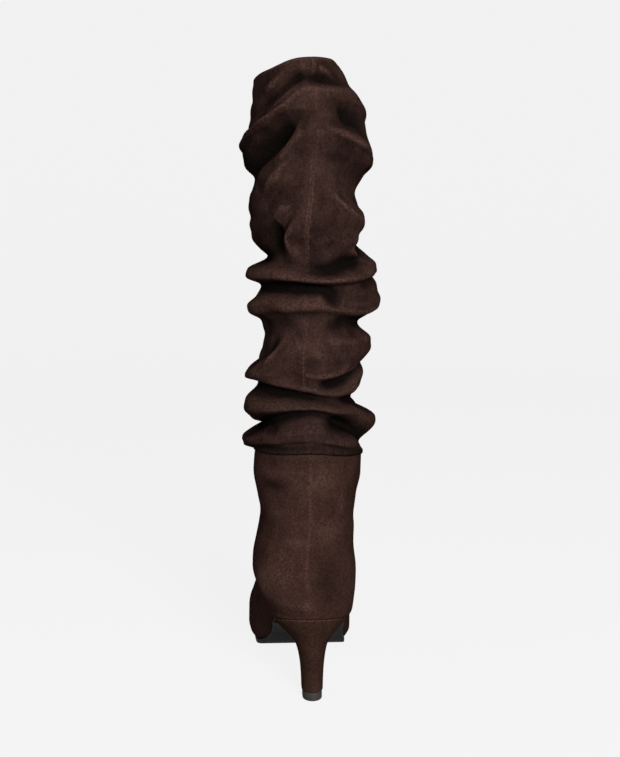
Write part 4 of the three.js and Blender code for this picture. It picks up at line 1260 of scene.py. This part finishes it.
class Crumple:
    """Seeded soft waves that keep a leather surface from looking moulded."""

    def __init__(self, seed: int, count: int, shortest: float, longest: float, stretch: float) -> None:
        """Draws the waves.

        Args:
            seed: Seed of the random draws.
            count: How many waves.
            shortest: Shortest wave, in millimetres.
            longest: Longest wave.
            stretch: How much longer the waves are round the boot than up it.
        """
        draw = np.random.default_rng(seed)
        length = np.exp(draw.uniform(math.log(shortest), math.log(longest), count))
        turn = draw.uniform(0, math.pi, count)
        self.kx = 2 * np.pi * np.cos(turn) / (length * stretch)
        self.kz = 2 * np.pi * np.sin(turn) / length
        self.phase = draw.uniform(0, 2 * math.pi, count)
        self.size = length / length.sum()

    def __call__(self, x: Array, z: Array) -> Array:
        """Waves at places of the surface.

        Args:
            x: Millimetres round the boot.
            z: Millimetres up it.

        Returns:
            The waves, from about -0.5 to 0.5.
        """
        total = np.zeros(np.broadcast(x, z).shape)
        for kx, kz, phase, size in zip(self.kx, self.kz, self.phase, self.size):
            total += size * np.cos(kx * x + kz * z + phase)
        return total * 2


def softened(relief: Array, rows: float, columns: float) -> Array:
    """The relief blurred over some rows and columns of a grid of closed rings.

    Args:
        relief: How far the surface stands out on a grid of rings.
        rows: Spread of the blur, in rows.
        columns: Spread of the blur, in columns.

    Returns:
        The blurred relief.
    """
    reach = int(2.5 * rows)
    padded = np.pad(relief, ((reach, reach), (0, 0)), mode="edge")
    offsets = np.arange(-reach, reach + 1)
    weights = np.exp(-((offsets / rows) ** 2))
    parts = (w * padded[reach + k:reach + k + len(relief)] for k, w in zip(offsets, weights))
    soft = sum(parts) / weights.sum()
    reach = int(2.5 * columns)
    offsets = np.arange(-reach, reach + 1)
    weights = np.exp(-((offsets / columns) ** 2))
    return sum(w * np.roll(soft, k, axis=1) for k, w in zip(offsets, weights)) / weights.sum()


@dataclass(frozen=True)
class ReliefMask:
    """A mask from how far a surface stands over, or lies under, what is round it. In millimetres."""

    near: float
    far: float
    starts: float
    full: float
    sign: int

    def of(self, relief: Array, row_step: float, column_step: float) -> Array:
        """The mask of a relief.

        Args:
            relief: How far the surface stands out on a grid of rings.
            row_step: Millimetres between rows.
            column_step: Millimetres between columns.

        Returns:
            The mask, from 0 to 1.
        """
        close = softened(relief, self.near / row_step, self.near / column_step)
        wide = softened(relief, self.far / row_step, self.far / column_step)
        return smoothstep(self.starts, self.full, self.sign * (close - wide))


# Edges that bend outwards, where the nap is lighter, partly rubbed nap and partly painted highlight, and low
# places, which get painted shade.
CREST = ReliefMask(near=0.8, far=4.0, starts=0.15, full=0.9, sign=1)
FURROW = ReliefMask(near=1.5, far=11.0, starts=0.3, full=4.0, sign=-1)


@dataclass
class Shaft:
    """The folded suede shaft."""

    form: ShaftForm
    seam: BackSeam = field(default_factory=BackSeam)
    columns: int = 236
    rows: int = 262
    seam_columns: int = 18
    inner_rows: int = 90
    soft_crumple: float = 3.2
    fine_crumple: float = 1.3
    # Strengths of the crests' lighter nap, partly painted highlight, the creases' painted light and painted
    # shade, the rim's lighter nap, and a painted shade on the lowest folds.
    crest_strength: float = 0.55
    crease_rub_and_highlight: float = 1.0
    crease_shade: float = 0.9
    rim_lightening: float = 0.45
    low_shade: float = 0.35
    hem_rise: float = 1.1
    hem_gap: float = 0.7
    hem_height: float = 8.0
    seam_degrees: float = 4.0
    seam_gap: float = 0.5
    slope_step: float = 0.004
    droop_ends: float = 0.05
    crumple_from: float = 0.03
    calm_collar: float = 0.75
    calm_from: float = 0.9
    # Shares of the height between which the shade of the lowest folds fades.
    low_shade_ends: tuple[float, float] = (0.05, 0.24)
    # How far the hem hangs over the ankle part, by meridian as in the folds.
    hem: tuple[float, ...] = (1.6, 1.5, 1.4, 1.5, 1.6, 1.7, 1.8, 1.7)

    def __post_init__(self) -> None:
        """Draws the crumples and the hem's curve."""
        self.hem_drop = round_curve(self.hem)
        self._crumples = (
            (self.soft_crumple, Crumple(seed=7, count=30, shortest=24.0, longest=60.0, stretch=1.4)),
            (self.fine_crumple, Crumple(seed=8, count=40, shortest=9.0, longest=22.0, stretch=1.5)),
        )

    def _angles(self) -> Array:
        """Places of the columns, close together at the back seam.

        Returns:
            Degrees from the back seam, growing.
        """
        even = -180 + (np.arange(self.columns) + 0.5) * 360 / self.columns
        fine = np.linspace(-self.seam_degrees, self.seam_degrees, self.seam_columns + 1)
        return np.sort(np.concatenate([even[np.abs(even) > self.seam_degrees + self.seam_gap], fine]))

    def _grid(self, from_seam: Array, rows: int) -> tuple[Array, Array]:
        """Angles and height shares of the wall, with the columns following the back seam.

        Args:
            from_seam: Degrees of the columns from the back seam.
            rows: How many rings, less one.

        Returns:
            Degrees from the middle of the back and shares of the shaft's height.
        """
        share = np.linspace(0, 1, rows + 1)[:, None]
        follows = (1 + np.cos(np.radians(from_seam))) / 2
        angle = from_seam + self.form.seam_turn(share) * follows
        return angle, share * self.form.collar_height(angle)

    def _relief(self, angle: Array, up: Array) -> tuple[Array, Array, Array]:
        """Folds, creases and crumples together.

        Args:
            angle: Degrees from the back seam.
            up: Shares of the shaft's height.

        Returns:
            How far the wall stands out, in millimetres, and the creases' masks of rubbed nap with painted
            highlight, and of painted shade.
        """
        x, z = angle * self.form.arc, up * self.form.height
        crumple = sum(rise * waves(x, z) for rise, waves in self._crumples)
        held = smoothstep(0, self.crumple_from, up)
        held = held * (1 - self.calm_collar * smoothstep(self.calm_from, 1, up))
        creased, rub, shade = self.form.creases(angle, up)
        return self.form.folds(angle, up) + creased + crumple * held, rub, shade

    def _place(self, angle: Array, up: Array, out: Array) -> Array:
        """Points of the wall, drooped where the folds stand out.

        Args:
            angle: Degrees from the back seam.
            up: Shares of the shaft's height.
            out: How far the wall stands out there.

        Returns:
            The points, one row per ring.
        """
        x, y, nx, ny = self.form.base(angle, up)
        below_collar = self.form.collar_height(angle) - up
        ends = smoothstep(0, self.droop_ends, up) * smoothstep(0, self.droop_ends, below_collar)
        drop = self.form.droop * (out - self.form.droop_level) * ends
        shift = self.form.foot.seam_shift(angle) * (1 - smoothstep(0, self.form.shift_ends, up))
        z = self.form.foot.seam_height + self.form.foot.clearance + up * self.form.height - drop + shift
        return np.stack([x + nx * out, y + ny * out, z], axis=-1)

    def build(self, suede: bpy.types.Material, lining: bpy.types.Material) -> bpy.types.Object:
        """Builds the shaft as one closed wall.

        Args:
            suede: Material of the outside.
            lining: Material of the inside.

        Returns:
            The piece.
        """
        from_seam = self._angles()
        angle, up = self._grid(from_seam, self.rows)
        relief, rub, shade = self._relief(angle, up)
        arc, height = from_seam * self.form.arc, up * self.form.height
        hem = self.hem_rise * (1 - smoothstep(0, self.hem_height, height))
        outer = self._place(angle, up, relief + self.seam.relief(arc, height) + hem)
        step_z, step_x = self.form.height / self.rows, 360 / self.columns * self.form.arc
        # furrow is painted shade: in low places of the relief, round the creases, and darkening the lowest
        # folds.
        furrow = FURROW.of(relief, step_z, step_x)
        furrow = furrow + (1 - furrow) * self.crease_shade * shade
        furrow = furrow + (1 - furrow) * self.low_shade * (1 - smoothstep(*self.low_shade_ends, up))
        # crest is lighter nap: on outward edges, partly rubbed and partly painted highlight, the creases'
        # painted light, the seam's rubbed edges and the rim.
        crest = np.maximum(self.crest_strength * CREST.of(relief, step_z, step_x), self.crease_rub_and_highlight * rub)
        crest = np.maximum(crest, self.seam.rubbed(arc, height))
        crest[-2:] = np.maximum(crest[-2:], self.rim_lightening)

        inner = self._inside(from_seam)
        rim = (outer[-1:] + inner[-1:]) / 2 + (0, 0, self.form.wall / 3)
        lip = self._lip(angle[:1])
        rings = np.concatenate([lip, outer, rim, inner[::-1]])
        # The hem's lip, under its overhang, is painted full shade.
        lip_mask = np.zeros((len(lip), len(from_seam)))
        masks = {"crest": np.concatenate([lip_mask, crest]), "furrow": np.concatenate([lip_mask + 1, furrow])}
        spec = closed_wall(rings, len(lip) + len(outer), masks)
        piece = build_object("Shaft", spec, [suede, lining])
        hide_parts("shaft")
        return piece

    def _inside(self, from_seam: Array) -> Array:
        """Rings of the inside, a wall's thickness inside the folds, measured square to their slope.

        Args:
            from_seam: Degrees of the columns from the back seam.

        Returns:
            The rings, from the lowest up.
        """
        angle, up = self._grid(from_seam, self.inner_rows)
        climb = self.form.folds(angle, up + self.slope_step) - self.form.folds(angle, up - self.slope_step)
        slope = climb / (2 * self.slope_step * self.form.height)
        inset = self.form.wall * np.sqrt(1 + slope**2)
        return self._place(angle, up, self._relief(angle, up)[0] - inset)

    def _lip(self, angle: Array) -> Array:
        """The hem that hangs over the ankle part, from its inside down and round its edge.

        Args:
            angle: Degrees of the lowest ring from the middle of the back.

        Returns:
            The hem's rings.
        """
        up = np.zeros_like(angle)
        drop = self.hem_drop(angle)
        outs = (self.hem_gap, self.hem_gap, self.hem_rise * 0.7, self.hem_rise)
        rings = []
        for out, down in zip(outs, (0.0, 0.9, 1.0, 0.8)):
            ring = self._place(angle, up, np.full_like(angle, out))
            ring[..., 2] -= down * drop
            rings.append(ring)
        return np.concatenate(rings)


@dataclass(frozen=True)
class Spot:
    """A soft spot on the back of the ankle part, in millimetres.

    x is its place from the back seam and z its height over the floor. tone above zero lightens the nap there
    and below zero lays painted shade. rise is how far the leather stands out there.
    """

    name: str
    x: float
    z: float
    half_width: float
    half_height: float
    tone: float
    rise: float = 0.0


# Spots with a tone below zero are painted shade.
ANKLE_SPOTS = (
    Spot("worn spot over the seat", -2.6, 74.8, 5.0, 4.0, 0.95),
    Spot("light band over the seat", -16.0, 76.0, 12.0, 3.0, 0.4),
    Spot("light left edge of the counter", -30.0, 86.0, 4.0, 12.0, 0.8),
    Spot("worn left of the seam", -17.0, 95.0, 7.0, 9.0, 0.45),
    Spot("dark left side of the counter", -30.0, 106.0, 5.0, 8.0, -0.4),
    Spot("dark right half of the counter", 14.0, 93.0, 9.0, 17.0, -0.6),
    Spot("scuff left of the seam", -18.0, 108.0, 3.0, 4.0, 0.55),
    Spot("streak at the seam's left", -8.0, 117.0, 9.0, 2.5, 0.45),
    Spot("light right of the seam", 14.0, 124.0, 10.0, 7.0, 0.4),
    Spot("light left of the ankle", -23.0, 136.0, 5.0, 4.0, 0.5),
    Spot("light edge of the ankle's right", 22.0, 142.0, 3.0, 8.0, 0.6),
    Spot("dent of the ankle's left", -24.0, 155.0, 9.0, 4.5, -0.9, -0.6),
    Spot("bump over the dent", -28.0, 163.0, 8.0, 4.0, 0.3, 1.0),
    Spot("light under the hem", 8.0, 160.0, 13.0, 6.0, 0.35),
    Spot("shadow under the hem", -6.0, 172.0, 14.0, 4.5, -0.4),
)


@dataclass
class Upper:
    """Foot and ankle part in one shell."""

    form: FootForm
    seam: BackSeam = field(
        default_factory=lambda: BackSeam(
            half_width=0.8,
            rise=0.22,
            groove_width=0.3,
            groove_depth=0.22,
            pucker_length=3.0,
            pucker_rise=0.03,
            edge_width=0.5,
            rub=0.8,
        )
    )
    wall: float = 1.6
    steps: int = 110
    levels: int = 150
    inner_levels: int = 40
    level_bunching: float = 1.15
    crumple_rise: float = 0.9
    crumple_slant: float = 0.6
    edge_hold: float = 0.04
    top_hold: float = 0.08
    seam_reach: float = 50.0
    row_step: float = 1.2
    column_step: float = 1.5
    # Strengths of the crests' lighter nap, partly painted highlight, of painted shade in low places, and of
    # the painted shadow along the seat line.
    crest_strength: float = 0.5
    furrow_strength: float = 0.6
    seat_shade: float = 0.9

    def _shares(self, levels: int) -> Array:
        """Shares of the height, closer together at the lower edge."""
        return np.linspace(0, 1, levels + 1) ** self.level_bunching

    def _grid(self, levels: int) -> Array:
        """Points of the outer surface.

        Args:
            levels: How many rings, less one.

        Returns:
            The stacked rings, from the lowest up.
        """
        across = (1 - np.cos(np.pi * np.arange(self.steps + 1) / self.steps)) / 2
        up = self._shares(levels)
        grid_up, grid_across = np.meshgrid(up, across, indexing="ij")
        y, z = self.form.side_place(grid_across, grid_up)
        middle, half = self.form.width(y, z)
        lateral = np.stack([middle + half, y - self.form.origin_from_back, z], -1)
        medial = np.stack([middle - half, y - self.form.origin_from_back, z], -1)
        rings = np.concatenate([lateral, medial[:, -2:0:-1]], axis=1)
        behind = self.form.seam_middle - self.form.origin_from_back - rings[..., 1]
        angle = np.degrees(np.arctan2(rings[..., 0] - rings[:, :1, 0], behind))
        rings[..., 2] += self.form.seam_shift(angle) * smoothstep(self.form.seam_rise_from, 1, up)[:, None]
        return rings

    def _inside(self) -> Array:
        """Rings of the inside, a wall's thickness in from the outer surface and level at both openings.

        Returns:
            The rings, from the lowest up.
        """
        rings = self._grid(self.inner_levels)
        normal = ring_normals(rings)
        for row in (0, -1):
            normal[row, :, 2] = 0
            normal[row] /= np.maximum(np.linalg.norm(normal[row], axis=1, keepdims=True), 1e-9)
        return rings - normal * self.wall

    def build(self, suede: bpy.types.Material, lining: bpy.types.Material) -> bpy.types.Object:
        """Builds the upper as one closed wall, open above and below.

        Args:
            suede: Material of the outside.
            lining: Material of the inside.

        Returns:
            The piece.
        """
        rings = self._grid(self.levels)
        normal = ring_normals(rings)
        up = self._shares(self.levels)
        edge = smoothstep(0, self.edge_hold, up)[:, None]
        top = smoothstep(0, self.top_hold, 1 - up)[:, None]
        waves = Crumple(seed=11, count=30, shortest=16.0, longest=50.0, stretch=1.2)
        round_boot = rings[..., 1] + self.crumple_slant * rings[..., 0]
        relief = self.crumple_rise * waves(round_boot, rings[..., 2]) * edge * top
        # Spots above zero lighten the nap; spots below zero lay painted shade.
        lightened, dark = np.zeros_like(relief), np.zeros_like(relief)
        from_seam = rings[..., 0] - rings[:, :1, 0]
        backwards = np.clip(-2.0 * normal[..., 1], 0, 1)
        for spot in ANKLE_SPOTS:
            across = (from_seam - spot.x) / spot.half_width
            near = np.exp(-(across**2) - ((rings[..., 2] - spot.z) / spot.half_height) ** 2) * backwards
            relief += spot.rise * near
            lightened = np.maximum(lightened, spot.tone * near)
            dark = np.maximum(dark, -spot.tone * near)
        behind = rings[..., 1] < self.seam_reach - self.form.origin_from_back
        on_back = np.where(behind & (normal[..., 1] < 0), 1.0, 0.0)
        seam = self.seam.relief(from_seam, rings[..., 2]) * on_back * edge
        outer = rings + normal * (relief + seam)[..., None]
        # Lighter nap on outward edges, partly rubbed and partly painted highlight, with the seam's rubbed
        # lines and the spots.
        crest = self.crest_strength * CREST.of(relief, self.row_step, self.column_step)
        crest = np.maximum(crest, self.seam.rubbed(from_seam, rings[..., 2]) * on_back)
        crest = np.maximum(crest, lightened)
        # Painted shade in low places and under the spots below zero.
        furrow = self.furrow_strength * FURROW.of(relief, self.row_step, self.column_step)
        furrow = np.maximum(furrow, dark)
        # A painted shadow along the seat line.
        furrow[:2] = np.maximum(furrow[:2], self.seat_shade)

        walls = np.concatenate([outer, self._inside()[::-1]])
        spec = closed_wall(walls, len(outer), {"crest": crest, "furrow": furrow})
        piece = build_object("Upper", spec, [suede, lining])
        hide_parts("upper")
        return piece


@dataclass
class Sole:
    """Outsole, on the upper's own lower edge."""

    form: FootForm
    waist_thickness: float = 2.6
    edge: float = 0.8
    bevel: float = 0.9
    breast: float = 52.0
    end_margin: float = 0.25
    steps: int = 120
    bevel_steps: int = 5
    thin_from: float = 0.3
    thick_from: float = 0.56
    top_inset: float = 0.3
    top_round: float = 0.35

    def _sides(self) -> tuple[Array, Array]:
        """The two sides of the edge, from the breast to the toe.

        Returns:
            Plan points of the little toe's side and of the big toe's side.
        """
        share = np.sin(np.pi / 2 * np.arange(self.steps + 1) / self.steps)
        y = mix(self.breast + self.form.clearance, self.form.last_length - self.end_margin, share)
        middle, half = self.form.width(y, self.form.feather_height(y))
        return np.stack([middle + half, y], 1), np.stack([middle - half, y], 1)

    @staticmethod
    def _moved(edge: Array, side: Side, distance: float) -> Array:
        """The plan edge moved outwards.

        Args:
            edge: Its plan points.
            side: The side of the boot that it is on.
            distance: How far.

        Returns:
            The moved points.
        """
        along = np.gradient(edge, axis=0)
        along /= np.linalg.norm(along, axis=1, keepdims=True)
        return edge + side.value * distance * np.stack([along[:, 1], -along[:, 0]], 1)

    def _ring(self, distance: float, height: Callable[[Array], Array]) -> Array:
        """One level of the sole.

        Args:
            distance: How far outside the upper's lower edge.
            height: Height at a place along the boot.

        Returns:
            The ring's points.
        """
        lateral, medial = self._sides()
        plan = np.concatenate(
            [self._moved(lateral, Side.LATERAL, distance), self._moved(medial, Side.MEDIAL, distance)[::-1]]
        )
        return np.stack([plan[:, 0], plan[:, 1] - self.form.origin_from_back, height(plan[:, 1])], 1)

    def _top(self, y: Array) -> Array:
        """Height of the upper face."""
        return self.form.feather_height(y) - self.form.clearance

    def _bottom(self, y: Array) -> Array:
        """Height of the tread."""
        thick = smoothstep(self.thin_from, self.thick_from, y / self.form.last_length)
        return self._top(y) - mix(self.waist_thickness, self.form.outsole_thickness, thick)

    def build(self, rubber: bpy.types.Material) -> bpy.types.Object:
        """Builds the outsole.

        Args:
            rubber: Its material.

        Returns:
            The piece.
        """
        rings = []
        for turn in np.linspace(0, np.pi / 2, self.bevel_steps):
            ring = self._ring(self.edge - self.bevel * (1 - math.sin(turn)), self._bottom)
            ring[:, 2] += self.bevel * (1 - math.cos(turn))
            rings.append(ring)
        rings += [self._ring(self.edge, self._top), self._ring(self.edge - self.top_inset, self._top)]
        rings[-2][:, 2] -= self.top_round
        piece = build_object("Outsole", stacked_plate(rings), [rubber])
        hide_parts("outsole")
        return piece


@dataclass
class Heel:
    """Covered heel and its rubber tip."""

    form: FootForm
    breast: float = 52.0
    tip_width: float = 13.8
    tip_height: float = 6.0
    lip: float = 0.6
    end_margin: float = 0.25
    steps: int = 60
    levels: int = 90
    edge_inset: float = 0.5
    edge_height: float = 0.4
    # A painted highlight along the heel cover's top edge, under the seat.
    seat_highlight: float = 0.8
    # Distances from the seat at which the painted highlight on the cover's top edge starts and is full.
    seat_highlight_ends: tuple[float, float] = (1.6, 0.2)
    # Share of the height from the seat down, then of the way to the tip at the back, breast and sides.
    taper: tuple[tuple[float, ...], ...] = (
        (0.0, 0.0, 0.0, 0.0), (0.06, 0.06, 0.1, 0.16), (0.14, 0.16, 0.25, 0.38), (0.23, 0.3, 0.44, 0.62),
        (0.32, 0.45, 0.62, 0.79), (0.45, 0.63, 0.8, 0.89), (0.65, 0.82, 0.93, 0.96),
        (0.85, 0.95, 0.985, 0.99), (1.0, 1.0, 1.0, 1.0),
    )

    def __post_init__(self) -> None:
        """Works out the seat's outline."""
        self._share = 1 - np.cos(np.pi / 2 * np.arange(self.steps + 1) / self.steps)
        self._seat_y = mix(self.form.seat_back + self.end_margin, self.breast, self._share)
        middle, half = self.form.width(self._seat_y, self.form.feather_height(self._seat_y))
        self._outline = half / half[-1]
        self._seat_half, self._seat_middle = float(half[-1]), float(middle[-1])

    def _ring(self, down: float, inset: float = 0.0) -> Array:
        """One level of the heel.

        Args:
            down: Share of the way from the seat to the tip.
            inset: How far its outline is drawn in.

        Returns:
            The ring's points.
        """
        back, breast, side = (float(column(self.taper, i)(down)) for i in (1, 2, 3))
        tip_back = self.form.tip_setback - self.lip
        tip_front = self.form.tip_setback + self.form.tip_length + self.lip
        start = float(mix(self.form.seat_back + self.end_margin, tip_back, back)) + inset
        end = float(mix(self.breast, tip_front, breast)) - inset
        half = float(mix(self._seat_half, self.tip_width / 2 + self.lip, side)) - inset
        middle = float(mix(self._seat_middle, 0, side))
        y = mix(start, end, self._share) - self.form.origin_from_back
        top = self.form.feather_height(self._seat_y) - self.form.clearance
        z = mix(top, self.tip_height + self.form.clearance, down)
        lateral = np.stack([middle + half * self._outline, y, z], 1)
        medial = np.stack([middle - half * self._outline, y, z], 1)
        return np.concatenate([lateral, medial[::-1]])

    def build(self, suede: bpy.types.Material) -> bpy.types.Object:
        """Builds the covered heel.

        Args:
            suede: Its material.

        Returns:
            The piece.
        """
        rings = [self._ring(float(down)) for down in np.linspace(1, 0, self.levels + 1)]
        rings[0][:, 2] += self.edge_height
        rings[-1][:, 2] -= self.edge_height
        top = self._ring(0.0, self.edge_inset)
        rings = [self._ring(1.0, self.edge_inset), *rings, top]
        under_seat = np.abs(np.concatenate(rings)[:, 2] - np.tile(top[:, 2], len(rings)))
        # The cover's top edge gets its painted highlight.
        crest = self.seat_highlight * smoothstep(*self.seat_highlight_ends, under_seat)
        spec = stacked_plate(rings, {"crest": crest, "furrow": np.zeros_like(crest)})
        piece = build_object("Heel", spec, [suede])
        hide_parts("heel")
        return piece

    def build_tip(self, rubber: bpy.types.Material) -> bpy.types.Object:
        """Builds the heel's rubber tip.

        Args:
            rubber: Its material.

        Returns:
            The piece.
        """
        top = self.tip_height
        heights = (0.0, 0.15, 0.5, top - 0.4, top - 0.1, top)
        insets = (0.5, 0.2, 0.0, 0.0, 0.12, 0.4)
        rings = []
        for height, inset in zip(heights, insets):
            ring = self._ring(1.0, self.lip + inset)
            ring[:, 2] = height
            rings.append(ring)
        piece = build_object("Heel_tip", stacked_plate(rings), [rubber])
        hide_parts("heel_tip")
        return piece


@dataclass
class Insole:
    """The insole's own two solids, stiff backpart and forepart, with a leather finish."""

    parts: tuple[str, ...] = ("insole_backpart", "insole_forepart")

    def dress(self, lining: bpy.types.Material) -> None:
        """Gives the solids their material.

        Args:
            lining: The material.
        """
        for part in self.parts:
            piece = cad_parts[part]
            piece.data.materials.clear()
            piece.data.materials.append(lining)
            LOG.info("%s: dressed", part)


# Studio.

WHITE: Color = (1.0, 1.0, 1.0)


@dataclass(frozen=True)
class SoftLight:
    """A round soft light. Metres and watts."""

    name: str
    place: Point
    size: float
    power: float


LIGHTS = (
    SoftLight("Key light", (0.4, -1.7, 0.65), 0.7, 240.0),
    SoftLight("Fill light", (-1.7, -0.9, 0.6), 0.9, 50.0),
)


@dataclass
class Studio:
    """Camera at the photo's angle, pale floor and soft lights. Metres and degrees."""

    camera_place: Point = (-0.04255, -0.8, 0.3154)
    pitch_down: float = 6.277
    yaw_right: float = 2.93
    focal_px: float = 1173.2
    long_side_px: float = 757.0
    sensor_mm: float = 36.0
    floor_grey: float = 0.015
    floor_glow: float = 0.855
    floor_radius: float = 3.2
    floor_bend: float = 1.2
    floor_height: float = 4.5
    floor_steps: int = 64
    bend_steps: int = 14
    lit_place: Point = (0.0, 0.05, 0.25)
    world_strength: float = 0.35

    def add_camera(self) -> None:
        """Adds the camera and makes it the scene's."""
        data = bpy.data.cameras.new("Camera")
        data.sensor_width = self.sensor_mm
        data.lens = self.focal_px * self.sensor_mm / self.long_side_px
        camera = bpy.data.objects.new("Camera", data)
        camera.location = self.camera_place
        camera.rotation_euler = (math.radians(90 - self.pitch_down), 0, -math.radians(self.yaw_right))
        bpy.context.scene.collection.objects.link(camera)
        bpy.context.scene.camera = camera

    def add_floor(self) -> None:
        """Adds a pale floor that curves up into a backdrop on every side."""
        bend, flat = self.floor_bend, self.floor_radius - self.floor_bend
        turn = np.linspace(0, math.pi / 2, self.bend_steps)
        profile = [(flat, 0.0)]
        profile += [(flat + bend * math.sin(t), bend - bend * math.cos(t)) for t in turn[1:]]
        profile.append((self.floor_radius, self.floor_height))
        around = np.linspace(0, 2 * math.pi, self.floor_steps, endpoint=False)
        points = [(0.0, 0.0, 0.0)]
        points += [(r * math.cos(a), r * math.sin(a), z) for r, z in profile for a in around]
        size = len(around)
        faces: list[tuple[int, ...]] = [(0, 1 + j, 1 + (j + 1) % size) for j in range(size)]
        faces += grid_faces(1, len(profile), size, True)
        mesh = bpy.data.meshes.new("Floor")
        mesh.from_pydata(points, [], faces)
        mesh.polygons.foreach_set("use_smooth", np.ones(len(mesh.polygons), bool))
        material = bpy.data.materials.new("Pale floor")
        material.use_nodes = True
        nodes = Nodes(material.node_tree)
        shader = nodes.add(
            "ShaderNodeBsdfPrincipled",
            {
                "Base Color": rgba((self.floor_grey,) * 3), "Roughness": 0.95, "Specular IOR Level": 0.0,
                "Emission Color": rgba(WHITE), "Emission Strength": self.floor_glow,
            },
        )
        nodes.add("ShaderNodeOutputMaterial", {"Surface": shader.outputs[0]})
        mesh.materials.append(material)
        floor = bpy.data.objects.new("Floor", mesh)
        bpy.context.scene.collection.objects.link(floor)

    def _add_light(self, light: SoftLight) -> None:
        """Adds one soft light that looks at the boot.

        Args:
            light: Its place, size and power.
        """
        data = bpy.data.lights.new(light.name, "AREA")
        data.shape = "DISK"
        data.size = light.size
        data.energy = light.power
        lamp = bpy.data.objects.new(light.name, data)
        lamp.location = light.place
        aim = Vector(self.lit_place) - Vector(light.place)
        lamp.rotation_euler = aim.to_track_quat("-Z", "Y").to_euler()
        bpy.context.scene.collection.objects.link(lamp)

    def add_lights(self) -> None:
        """Adds the soft lights and the pale surroundings."""
        for light in LIGHTS:
            self._add_light(light)
        world = bpy.data.worlds.new("Studio air")
        world.use_nodes = True
        nodes = Nodes(world.node_tree)
        air = nodes.add("ShaderNodeBackground", {"Color": rgba(WHITE), "Strength": self.world_strength})
        nodes.add("ShaderNodeOutputWorld", {"Surface": air.outputs[0]})
        bpy.context.scene.world = world

    def build(self) -> None:
        """Sets up everything that isn't the boot."""
        bpy.context.scene.view_settings.view_transform = "Standard"
        self.add_camera()
        self.add_floor()
        self.add_lights()
        LOG.info("studio: camera, floor and lights")


def main() -> None:
    """Builds the boot's pieces in order and the studio round them."""
    logging.basicConfig(level=logging.INFO, format="%(name)s %(message)s")
    effects = SharedEffects()
    foot = FootForm()
    lining = LINING.build(effects)
    Upper(foot).build(FOOT_SUEDE.build(effects), lining)
    Shaft(ShaftForm(foot)).build(SHAFT_SUEDE.build(effects), lining)
    Sole(foot).build(SOLE_RUBBER.build(effects))
    heel = Heel(foot)
    heel.build(HEEL_SUEDE.build(effects))
    heel.build_tip(TIP_RUBBER.build(effects))
    Insole().dress(lining)
    Studio().build()


if __name__ == "__main__":
    main()
